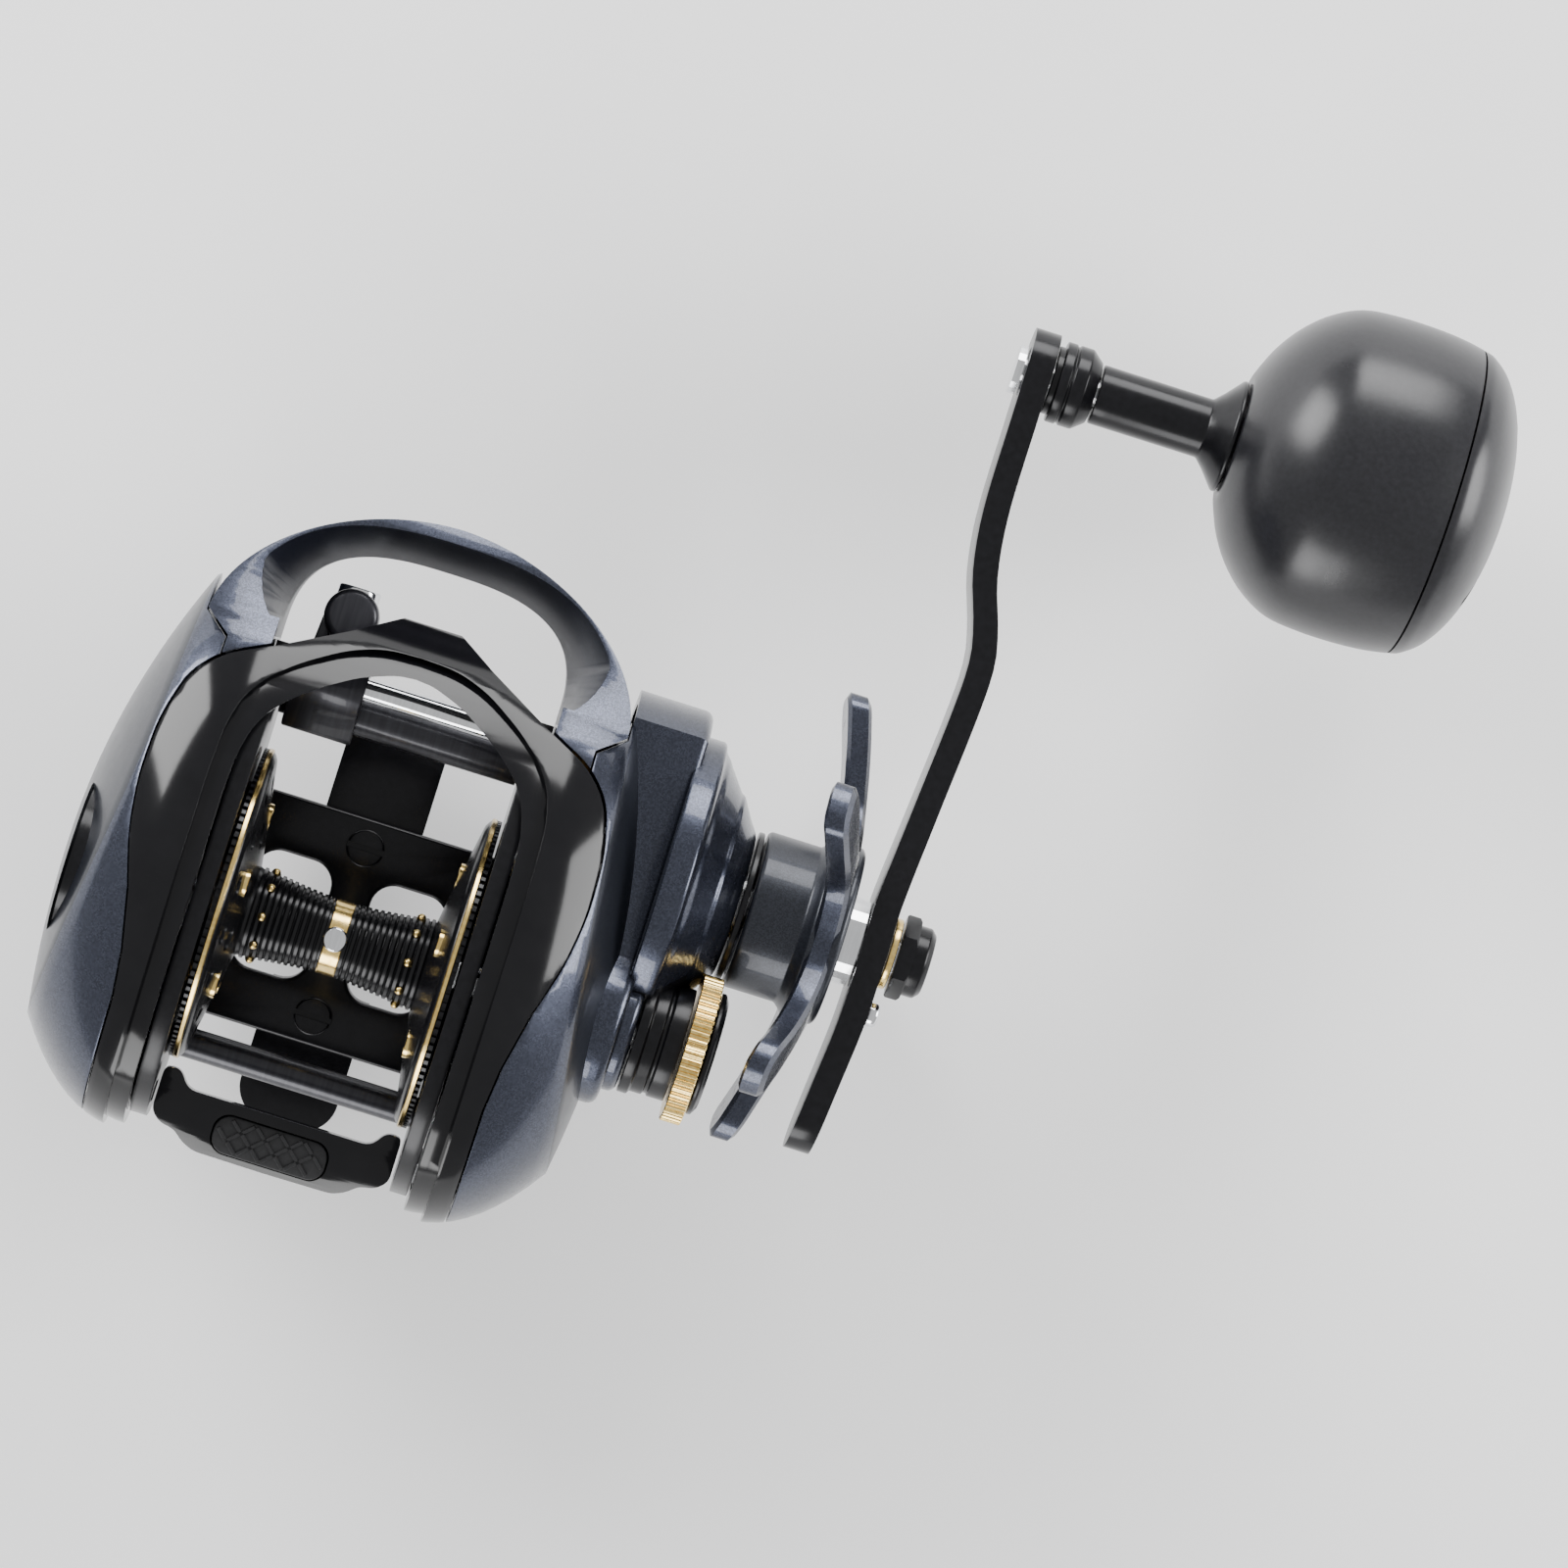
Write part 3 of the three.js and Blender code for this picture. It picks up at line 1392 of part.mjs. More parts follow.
// Slides with the thumb bar: a tab through the frame wall and a plate outside it.
function makeClutchCam() {
  const x0 = wallOuter + runGap;
  const plate = polygon([
    [camTabY - 1.8, camTabZ + 1.6],
    [camTabY - 1.8, camTabZ - 2.2],
    [camTabY + 9, camTabZ - 7],
    [camTabY + 15, camTabZ - 7],
    [camTabY + 15, camTabZ - 4],
    [camTabY + 7, camTabZ + 1.6],
  ]);
  const tab = box(
    thumbHalf + seamGap,
    x0 + 0.5,
    camTabY - camTabHalf,
    camTabY + camTabHalf,
    camTabZ - camTabHalf,
    camTabZ + camTabHalf,
  );
  return plateX(plate, x0, x0 + 1.2).add(tab);
}

// ================================================================ brake dial
function makeDial() {
  const z = axisZ + dialRise;
  const back = dialRecessX() - 0.9;
  const disc = rod(back - dialDepth + 1.4, back, dialRadius, 0, z, 32);
  const half = dialRadius - 1.4;
  const bar = box(back - dialDepth, back - dialDepth + 2, -half, half, z - 1.7, z + 1.7);
  const pin = rod(back - 0.5, back + 3.4, 2, 0, z, 16);
  return joined(disc, bar, pin);
}

// ================================================================ materials
function paint(color, roughness, metalness) {
  return () => new THREE.MeshStandardMaterial({ color, roughness, metalness });
}

const gunmetal = paint(0x3d4354, 0.28, 0.7);
const blackGloss = paint(0x0b0c0e, 0.15, 0.3);
const blackAnodised = paint(0x101114, 0.35, 0.8);
const gold = paint(0xc9a648, 0.3, 1);
const steel = paint(0xb8bcc2, 0.2, 1);
const brass = paint(0xb08d4a, 0.35, 1);
const carbon = paint(0x222326, 0.7, 0.1);
const charcoal = paint(0x2f3033, 0.45, 0.1);
const rubber = paint(0x131315, 0.8, 0);

const reel = new THREE.Group();

function place(name, body, material) {
  const mesh = new THREE.Mesh(surface(body), material());
  mesh.name = name;
  reel.add(mesh);
}

const shell = bodySolid(0).subtract(bodySolid(shellWall));

// Frame and covers
place('main_frame', makeFrame(), blackAnodised);
place('reel_foot', makeFoot(), blackAnodised);
place('foot_screw_rear', makeFootScrew(-footScrewY), blackAnodised);
place('foot_screw_front', makeFootScrew(footScrewY), blackAnodised);
place('top_hood', makeHood(shell), blackGloss);
place('front_cowl', makeCowl(), gunmetal);
place('palm_cover', makePalmCover(shell), gunmetal);
place('gear_cover', makeGearCover(shell), gunmetal);
place('nose_ring', makeNoseRing(), blackAnodised);
place('cast_barrel', makeBarrel(), blackAnodised);
place('brake_housing', makeBrakeHousing(), blackAnodised);
place('brake_magnets', ring(-(wallOuter + 5.7), -(wallOuter + 3.6), 10.5, 13.5, 0, axisZ), steel);
place('spool_bearing_palm', makeSpoolBearing(-(wallOuter + 3.6)), steel);
place('spool_bearing_gear', makeSpoolBearing(bossOuterX + seamGap + 1.6), steel);
place('drive_bearing', makeDriveBearing(), steel);
place('one_way_clutch', makeOneWayClutch(), steel);
place('yoke_post_upper', makeYokePost(1), steel);
place('yoke_post_lower', makeYokePost(-1), steel);

// Line guide drive
place('worm_guard', makeGuard(), blackAnodised);
place('guide_rod', makeGuideRod(), steel);
place('worm_shaft', makeWorm(), steel);
place('worm_gear', makeWormGear(), brass);
place('line_guide', makeCarriage(), blackAnodised);
place('guide_eye', makeEyeRing(), steel);
place('guide_pawl', makePawl(), brass);

// Spool
place('spool', makeSpool(), blackAnodised);
place('spool_shaft', makeSpoolShaft(), steel);
place('line_pin', makeLinePin(), steel);

// Drive train and drag
place('drive_shaft', makeDriveShaft(), steel);
place('guide_drive_gear', makeGuideDriveGear(), brass);
place('main_gear', makeMainGear(), brass);
place('drag_washer_1', makeDragWasher(0, 0), carbon);
place('drag_plate_1', makeDragWasher(1, 0.6), steel);
place('drag_washer_2', makeDragWasher(2, 0), carbon);
place('drag_plate_2', makeDragWasher(3, 0.6), steel);
place('drag_ratchet', makeRatchet(), steel);
place('clutch_sleeve', makeClutchSleeve(), steel);
place('pinion', makePinion(), brass);
place('clutch_yoke', makeYoke(), steel);

// Handle, star and knob
place('star_drag', makeStar(), gunmetal);
place('star_nut', makeStarNut(), brass);
place('handle_spacer', makeHandleSpacer(), steel);
place('handle_arm', makeArm(), blackAnodised);
place('handle_washer', makeHandleWasher(), gold);
place('handle_nut', makeNut(), blackAnodised);
place('nut_lock_screw', makeLockScrew(), steel);
place('knob_spindle', makeSpindle(), steel);
place('knob_collar', makeCollar(), blackAnodised);
place('knob_stem', makeStem(), blackAnodised);
place('knob_bearing_inner', makeKnobBearing(knobStartX + 1.4), steel);
place('knob_bearing_outer', makeKnobBearing(coreEndX - 2.6 - bearingWidth), steel);
place('knob_grip', makeGrip(), charcoal);
place('knob_cap', makeGripCap(), charcoal);

// Controls
place('cast_knob', makeCastKnob(), gold);
place('cast_cap', makeCastCap(), blackAnodised);
place('thumb_bar', makeThumbBar(), blackGloss);
place('thumb_pad', padSolid(0, 1.5), rubber);
place('clutch_cam', makeClutchCam(), steel);
place('brake_dial', makeDial(), gunmetal);

export default reel;
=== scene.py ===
"""Baitcasting reel: fine surfaces, finishes, floor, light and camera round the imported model."""

import logging
import math
from dataclasses import dataclass, field
from enum import Enum
from typing import Callable, Iterable, Optional, Sequence

import bmesh
import bpy
from mathutils import Euler, Matrix, Vector


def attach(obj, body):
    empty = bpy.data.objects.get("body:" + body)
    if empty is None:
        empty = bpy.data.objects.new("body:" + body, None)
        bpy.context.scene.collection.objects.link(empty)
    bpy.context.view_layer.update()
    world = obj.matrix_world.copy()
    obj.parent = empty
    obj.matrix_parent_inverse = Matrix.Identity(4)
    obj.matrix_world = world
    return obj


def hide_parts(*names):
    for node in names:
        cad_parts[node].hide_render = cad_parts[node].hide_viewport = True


logging.basicConfig(level=logging.INFO, format="%(message)s")
log = logging.getLogger("reel")

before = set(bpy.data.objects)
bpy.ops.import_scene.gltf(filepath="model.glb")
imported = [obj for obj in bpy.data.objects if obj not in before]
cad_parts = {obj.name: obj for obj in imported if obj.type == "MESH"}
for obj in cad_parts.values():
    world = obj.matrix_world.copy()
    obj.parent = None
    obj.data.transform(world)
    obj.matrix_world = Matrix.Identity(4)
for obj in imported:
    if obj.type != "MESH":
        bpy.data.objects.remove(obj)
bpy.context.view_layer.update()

MM = 0.001
Point2 = tuple[float, float]
AXIS_Z = 28.5  # spool axis above the foot's bottom face
SHAFT_Y = 20.0
SHAFT_Z = AXIS_Z - math.sqrt(21.35**2 - SHAFT_Y**2)


class Body(Enum):
    """The moving bodies that a piece can ride on."""

    FRAME = "frame"
    WORM = "worm"
    CARRIAGE = "line_carriage"
    SPOOL = "spool_group"
    CRANK = "crank"
    STAR = "star"
    KNOB = "knob"
    CAST = "cast_control"
    THUMB = "thumb_lever"
    DIAL = "dial"


class Grain(Enum):
    """How a finish breaks up its colour and relief."""

    SMOOTH = "smooth"
    FLAKE = "flake"
    BRUSHED = "brushed"
    PEBBLE = "pebble"
    WEAVE = "weave"


# ------------------------------------------------------------------ finishes
@dataclass(frozen=True)
class Finish:
    """One surface finish, built as a material on first use."""

    name: str
    colour: tuple[float, float, float]
    second: tuple[float, float, float]
    metallic: float = 0.0
    roughness: float = 0.3
    spread: float = 0.08
    coat: float = 0.0
    grain: Grain = Grain.SMOOTH
    grain_size: float = 0.0012
    relief: float = 0.05
    slot: str = "black_metal"
    shine: float = 0.5

    def material(self) -> bpy.types.Material:
        """Return the finish's material, and build it if it isn't there yet."""
        known = bpy.data.materials.get(self.name)
        if known:
            return known
        made = bpy.data.materials.new(self.name)
        made.use_nodes = True
        tree = made.node_tree
        shader = tree.nodes["Principled BSDF"]
        shader.inputs["Metallic"].default_value = self.metallic
        shader.inputs["Coat Weight"].default_value = self.coat
        shader.inputs["Specular IOR Level"].default_value = self.shine
        shader.inputs["Coat Roughness"].default_value = 0.04
        place = tree.nodes.new("ShaderNodeTexCoord")
        cloud = self._noise(tree, place, 1 / (self.grain_size * 14), 4)
        fine = self._grain(tree, place)
        self._ramp(tree, fine, self.colour, self.second, shader.inputs["Base Color"])
        rough = tree.nodes.new("ShaderNodeMapRange")
        rough.inputs["To Min"].default_value = max(0.02, self.roughness - self.spread)
        rough.inputs["To Max"].default_value = min(1.0, self.roughness + self.spread)
        tree.links.new(cloud, rough.inputs["Value"])
        tree.links.new(rough.outputs["Result"], shader.inputs["Roughness"])
        bump = tree.nodes.new("ShaderNodeBump")
        bump.inputs["Strength"].default_value = self.relief
        bump.inputs["Distance"].default_value = self.grain_size * 0.2
        tree.links.new(fine, bump.inputs["Height"])
        tree.links.new(bump.outputs["Normal"], shader.inputs["Normal"])
        return made

    def _noise(self, tree, place, scale: float, detail: float):
        """Add a noise texture on object coordinates and return its value output."""
        noise = tree.nodes.new("ShaderNodeTexNoise")
        noise.inputs["Scale"].default_value = scale
        noise.inputs["Detail"].default_value = detail
        tree.links.new(place.outputs["Object"], noise.inputs["Vector"])
        return noise.outputs["Fac"]

    def _grain(self, tree, place):
        """Add the texture of the finish's grain and return its value output."""
        if self.grain is Grain.FLAKE:
            cells = tree.nodes.new("ShaderNodeTexVoronoi")
            cells.inputs["Scale"].default_value = 1 / self.grain_size
            tree.links.new(place.outputs["Object"], cells.inputs["Vector"])
            split = tree.nodes.new("ShaderNodeSeparateColor")
            tree.links.new(cells.outputs["Color"], split.inputs["Color"])
            return split.outputs["Red"]
        if self.grain is Grain.WEAVE:
            weave = tree.nodes.new("ShaderNodeTexChecker")
            weave.inputs["Scale"].default_value = 1 / self.grain_size
            tree.links.new(place.outputs["Object"], weave.inputs["Vector"])
            return weave.outputs["Fac"]
        if self.grain is Grain.BRUSHED:
            stretch = tree.nodes.new("ShaderNodeMapping")
            stretch.inputs["Scale"].default_value = (1.0, 0.06, 0.06)
            tree.links.new(place.outputs["Object"], stretch.inputs["Vector"])
            noise = tree.nodes.new("ShaderNodeTexNoise")
            noise.inputs["Scale"].default_value = 1 / self.grain_size
            tree.links.new(stretch.outputs["Vector"], noise.inputs["Vector"])
            return noise.outputs["Fac"]
        return self._noise(tree, place, 1 / self.grain_size, 3)

    def _ramp(self, tree, value, low, high, socket) -> None:
        """Colour a value between two colours and link it to a socket."""
        ramp = tree.nodes.new("ShaderNodeValToRGB")
        ramp.color_ramp.elements[0].position = 0.3
        ramp.color_ramp.elements[1].position = 0.8
        ramp.color_ramp.elements[0].color = (*low, 1)
        ramp.color_ramp.elements[1].color = (*high, 1)
        tree.links.new(value, ramp.inputs["Fac"])
        tree.links.new(ramp.outputs["Color"], socket)


METALLIC = Finish(
    "metallic_blue_grey", (0.03, 0.034, 0.05), (0.06, 0.067, 0.095), 0.85, 0.27, 0.04, 0.35,
    Grain.FLAKE, 0.00013, 0.03, "body_metallic",
)
METALLIC_DARK = Finish(
    "metallic_dark_face", (0.014, 0.016, 0.022), (0.026, 0.029, 0.039), 0.55, 0.36, 0.04, 0.2,
    Grain.FLAKE, 0.00013, 0.03, "body_metallic",
)
# A darker, less metallic copy of the blue-grey paint: painted shade on the inner wall of the front arch.
INNER_WALL_SHADE = Finish(
    "painted_shade_inner_wall", (0.008, 0.009, 0.016), (0.013, 0.015, 0.025), 0.4, 0.34, 0.04, 0.0,
    Grain.FLAKE, 0.00013, 0.02, "body_metallic", 0.35,
)
HOOD_BLACK = Finish(
    "piano_black", (0.003, 0.003, 0.004), (0.005, 0.005, 0.006), 0.0, 0.12, 0.03, 0.0,
    Grain.SMOOTH, 0.004, 0.01, "hood_black", 0.3,
)
BLACK_METAL = Finish(
    "black_anodised", (0.004, 0.004, 0.005), (0.008, 0.008, 0.01), 0.3, 0.24, 0.07, 0.0,
    Grain.SMOOTH, 0.0009, 0.02, "black_metal", 0.35,
)
GUARD_GREY = Finish(
    "guard_satin", (0.02, 0.02, 0.026), (0.036, 0.036, 0.044), 0.5, 0.36, 0.06, 0.2,
    Grain.BRUSHED, 0.0005, 0.03, "black_metal",
)
GOLD = Finish(
    "gold_anodised", (0.72, 0.5, 0.16), (0.95, 0.73, 0.3), 1.0, 0.2, 0.06, 0.0,
    Grain.SMOOTH, 0.0006, 0.02, "gold",
)
CHROME = Finish(
    "polished_steel", (0.72, 0.73, 0.75), (0.84, 0.85, 0.87), 1.0, 0.12, 0.05, 0.0,
    Grain.BRUSHED, 0.0004, 0.015, "bright_steel",
)
BRASS = Finish(
    "machined_brass", (0.5, 0.35, 0.12), (0.66, 0.48, 0.2), 1.0, 0.3, 0.06, 0.0,
    Grain.BRUSHED, 0.0004, 0.04, "gear_brass",
)
CARBON = Finish(
    "woven_carbon", (0.02, 0.02, 0.022), (0.05, 0.05, 0.055), 0.1, 0.5, 0.08, 0.2,
    Grain.WEAVE, 0.0012, 0.08, "carbon_fibre",
)
KNOB_GREY = Finish(
    "charcoal_grip", (0.009, 0.009, 0.011), (0.015, 0.015, 0.018), 0.1, 0.3, 0.06, 0.0,
    Grain.PEBBLE, 0.0007, 0.04, "knob_eva", 0.45,
)
RUBBER = Finish(
    "matt_rubber", (0.008, 0.008, 0.009), (0.016, 0.016, 0.018), 0.0, 0.55, 0.1, 0.0,
    Grain.PEBBLE, 0.0005, 0.12, "pad_rubber",
)
FLOOR = Finish(
    "pale_floor", (0.95, 0.95, 0.955), (0.97, 0.97, 0.97), 0.0, 0.85, 0.05, 0.0,
    Grain.SMOOTH, 0.02, 0.01, "floor",
)


# ------------------------------------------------------------------ mesh tools
def fresh() -> bmesh.types.BMesh:
    """Return an empty mesh to model in, in millimetres."""
    return bmesh.new()


def turn_onto_x(bm: bmesh.types.BMesh, y: float, z: float) -> None:
    """Turn a mesh modelled round Z onto the X axis at a height and a forward place."""
    turn = Matrix(((0, 0, 1, 0), (1, 0, 0, 0), (0, 1, 0, 0), (0, 0, 0, 1)))
    bmesh.ops.transform(bm, matrix=Matrix.Translation((0, y, z)) @ turn, verts=bm.verts)


def spun(
    profile: Sequence[Point2], y: float, z: float, steps: int = 64, rounds: float = 0.0
) -> bmesh.types.BMesh:
    """Spin a profile round a line along X.

    Args:
        profile: Points as (x, radius), in order along the piece.
        y: Forward place of the line.
        z: Height of the line.
        steps: Steps in the full turn.
        rounds: Size of the rounding on the profile's sharp corners.

    Returns:
        The turned piece.
    """
    bm = fresh()
    points = softened(profile, rounds) if rounds else list(profile)
    verts = [bm.verts.new((r, 0, x)) for x, r in points]
    edges = [bm.edges.new(pair) for pair in zip(verts, verts[1:]) if pair[0] is not pair[1]]
    bmesh.ops.spin(
        bm, geom=verts + edges, cent=(0, 0, 0), axis=(0, 0, 1), angle=math.tau,
        steps=steps, use_merge=True, use_duplicate=False,
    )
    bmesh.ops.remove_doubles(bm, verts=bm.verts, dist=1e-4)
    turn_onto_x(bm, y, z)
    return bm


def softened(profile: Sequence[Point2], size: float, steps: int = 3) -> list[Point2]:
    """Round the corners of an open or closed profile.

    Args:
        profile: The corner points.
        size: Length taken from each side of a corner, at most.
        steps: Points across each rounded corner.

    Returns:
        The profile with its corners rounded.
    """
    closed = profile[0] == profile[-1]
    points = list(profile[:-1]) if closed else list(profile)
    count = len(points)
    result: list[Point2] = []
    for i, here in enumerate(points):
        if not closed and i in (0, count - 1):
            result.append(here)
            continue
        before = Vector(points[i - 1])
        after = Vector(points[(i + 1) % count])
        corner = Vector(here)
        one, two = before - corner, after - corner
        reach = min(size, one.length * 0.45, two.length * 0.45)
        if reach < 1e-4 or abs(one.angle(two) - math.pi) < 0.12:
            result.append(here)
            continue
        start = corner + one.normalized() * reach
        end = corner + two.normalized() * reach
        for step in range(steps + 1):
            t = step / steps
            spot = start * (1 - t) ** 2 + corner * 2 * t * (1 - t) + end * t**2
            result.append((spot.x, spot.y))
    if closed:
        result.append(result[0])
    return result


def slab(outline: Sequence[Point2], low: float, high: float) -> bmesh.types.BMesh:
    """Extrude an outline in X and Y between two heights."""
    bm = fresh()
    base = bm.faces.new([bm.verts.new((x, y, low)) for x, y in outline])
    top = bmesh.ops.extrude_face_region(bm, geom=[base])
    raised = [item for item in top["geom"] if isinstance(item, bmesh.types.BMVert)]
    bmesh.ops.translate(bm, verts=raised, vec=(0, 0, high - low))
    bmesh.ops.recalc_face_normals(bm, faces=bm.faces)
    return bm


def plate(outline: Sequence[Point2], x0: float, x1: float) -> bmesh.types.BMesh:
    """Extrude an outline in Y and Z between two places along X."""
    bm = slab(outline, x0, x1)
    turn_onto_x(bm, 0, 0)
    return bm


def block(low: Sequence[float], high: Sequence[float]) -> bmesh.types.BMesh:
    """Return a block between two corners, to cut with or to bevel."""
    bm = fresh()
    bmesh.ops.create_cube(bm, size=1)
    bmesh.ops.scale(bm, vec=[b - a for a, b in zip(low, high)], verts=bm.verts)
    bmesh.ops.translate(bm, vec=[(a + b) / 2 for a, b in zip(low, high)], verts=bm.verts)
    return bm


def post(x: float, y: float, z0: float, z1: float, radius: float, steps: int = 40) -> bmesh.types.BMesh:
    """Return an upright round post."""
    bm = fresh()
    bmesh.ops.create_cone(
        bm, cap_ends=True, segments=steps, radius1=radius, radius2=radius, depth=z1 - z0
    )
    bmesh.ops.translate(bm, vec=(x, y, (z0 + z1) / 2), verts=bm.verts)
    return bm


def bevelled(
    bm: bmesh.types.BMesh, width: float, segments: int = 2, angle: float = 30.0
) -> bmesh.types.BMesh:
    """Bevel every edge sharper than an angle.

    Args:
        bm: The mesh, changed in place.
        width: Bevel width.
        segments: Steps across the bevel.
        angle: Smallest angle between faces, in degrees, that is bevelled.

    Returns:
        The same mesh.
    """
    limit = math.radians(angle)
    edges = [e for e in bm.edges if len(e.link_faces) == 2 and e.calc_face_angle(0) > limit]
    bmesh.ops.bevel(
        bm, geom=edges, offset=width, segments=segments, profile=0.5,
        affect="EDGES", material=-1, clamp_overlap=True,
    )
    return bm


def merged(*parts: bmesh.types.BMesh) -> bmesh.types.BMesh:
    """Put several meshes into the first one, side by side."""
    whole = parts[0]
    for part in parts[1:]:
        mesh = bpy.data.meshes.new("part")
        part.to_mesh(mesh)
        whole.from_mesh(mesh)
        bpy.data.meshes.remove(mesh)
        part.free()
    return whole


def carved(
    bm: bmesh.types.BMesh, *cutters: bmesh.types.BMesh, operation: str = "DIFFERENCE"
) -> bmesh.types.BMesh:
    """Cut a mesh by others, or keep what it shares with them.

    Args:
        bm: The mesh to cut; it is used up.
        cutters: Closed meshes; they are used up.
        operation: DIFFERENCE, INTERSECT or UNION.

    Returns:
        The cut mesh.
    """
    target = _loose_object(bm)
    tools = []
    for cutter in cutters:
        tool = _loose_object(cutter)
        step = target.modifiers.new("cut", "BOOLEAN")
        step.operation = operation
        step.solver = "EXACT"
        step.object = tool
        tools.append(tool)
    seen = target.evaluated_get(bpy.context.evaluated_depsgraph_get())
    mesh = bpy.data.meshes.new_from_object(seen)
    result = fresh()
    result.from_mesh(mesh)
    for spare in [target, *tools]:
        old = spare.data
        bpy.data.objects.remove(spare)
        bpy.data.meshes.remove(old)
    bpy.data.meshes.remove(mesh)
    return result


def _loose_object(bm: bmesh.types.BMesh) -> bpy.types.Object:
    """Turn a mesh into a linked object for a cut."""
    mesh = bpy.data.meshes.new("loose")
    bm.to_mesh(mesh)
    bm.free()
    made = bpy.data.objects.new("loose", mesh)
    bpy.context.scene.collection.objects.link(made)
    return made


def mirrored_edge(half: Sequence[Point2]) -> list[Point2]:
    """Close a half outline by its mirror image across X = 0."""
    other = [(-x, y) for x, y in reversed(half) if abs(x) > 1e-6]
    return list(half) + other


def rounded_rectangle(
    cx: float, cy: float, hx: float, hy: float, radius: float, steps: int = 8
) -> list[Point2]:
    """Return the outline of a rectangle with round corners."""
    points: list[Point2] = []
    for corner in range(4):
        sx = 1 if corner in (0, 3) else -1
        sy = 1 if corner < 2 else -1
        for i in range(steps + 1):
            a = (corner + i / steps) * math.pi / 2
            points.append(
                (cx + sx * (hx - radius) + radius * math.cos(a), cy + sy * (hy - radius) + radius * math.sin(a))
            )
    return points


def smooth_curve(points: Sequence[Point2], steps: int = 6) -> list[Point2]:
    """Run a smooth curve through points, with some steps between each two."""
    result: list[Point2] = []
    last = len(points) - 1
    for i in range(last):
        p0 = Vector(points[max(0, i - 1)])
        p1, p2 = Vector(points[i]), Vector(points[i + 1])
        p3 = Vector(points[min(last, i + 2)])
        for step in range(steps):
            t = step / steps
            spot = 0.5 * (
                2 * p1 + (p2 - p0) * t + (2 * p0 - 5 * p1 + 4 * p2 - p3) * t**2
                + (3 * p1 - p0 - 3 * p2 + p3) * t**3
            )
            result.append((spot.x, spot.y))
    result.append(tuple(points[-1]))
    return result


def arc(cy: float, cz: float, radius: float, start: float, end: float, steps: int) -> list[Point2]:
    """Return points on an arc, with its angles in radians."""
    return [
        (cy + radius * math.cos(start + (end - start) * i / steps),
         cz + radius * math.sin(start + (end - start) * i / steps))
        for i in range(steps + 1)
    ]


def place_piece(
    bm: bmesh.types.BMesh,
    name: str,
    body: Body,
    finishes: Sequence[Finish],
    replaces: Iterable[str] = (),
    choose: Optional[Callable[[Vector, Vector], int]] = None,
    sharp: float = 32.0,
    closed: bool = True,
) -> bpy.types.Object:
    """Finish a mesh as a piece of the reel.

    Args:
        bm: The mesh in millimetres; it is used up.
        name: The piece's name.
        body: The body that it rides on.
        finishes: Its finishes, the first one the main one.
        replaces: The CAD nodes that it stands for.
        choose: Gives the finish's number from a face's middle and direction.
        sharp: Edges sharper than this many degrees stay crisp.
        closed: False leaves the directions of the faces as they are.

    Returns:
        The piece's object.
    """
    bmesh.ops.remove_doubles(bm, verts=bm.verts, dist=2e-4)
    bmesh.ops.dissolve_degenerate(bm, dist=1e-4, edges=bm.edges)
    if closed:
        bmesh.ops.recalc_face_normals(bm, faces=bm.faces)
    if choose:
        for face in bm.faces:
            face.material_index = choose(face.calc_center_median(), face.normal)
    limit = math.radians(sharp)
    for face in bm.faces:
        face.smooth = True
    for edge in bm.edges:
        edge.smooth = len(edge.link_faces) != 2 or edge.calc_face_angle(0) < limit
    bmesh.ops.scale(bm, vec=(MM, MM, MM), verts=bm.verts)
    mesh = bpy.data.meshes.new(name)
    bm.to_mesh(mesh)
    bm.free()
    piece = bpy.data.objects.new(name, mesh)
    bpy.context.scene.collection.objects.link(piece)
    for finish in finishes:
        mesh.materials.append(finish.material())
    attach(piece, body.value)
    names = list(replaces)
    if names:
        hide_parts(*names)
    log.info("%s: %d faces on %s", name, len(mesh.polygons), body.value)
    return piece


def dress_node(name: str, finish: Finish) -> None:
    """Give a shown CAD node its finish."""
    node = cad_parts[name]
    node.data.materials.clear()
    node.data.materials.append(finish.material())


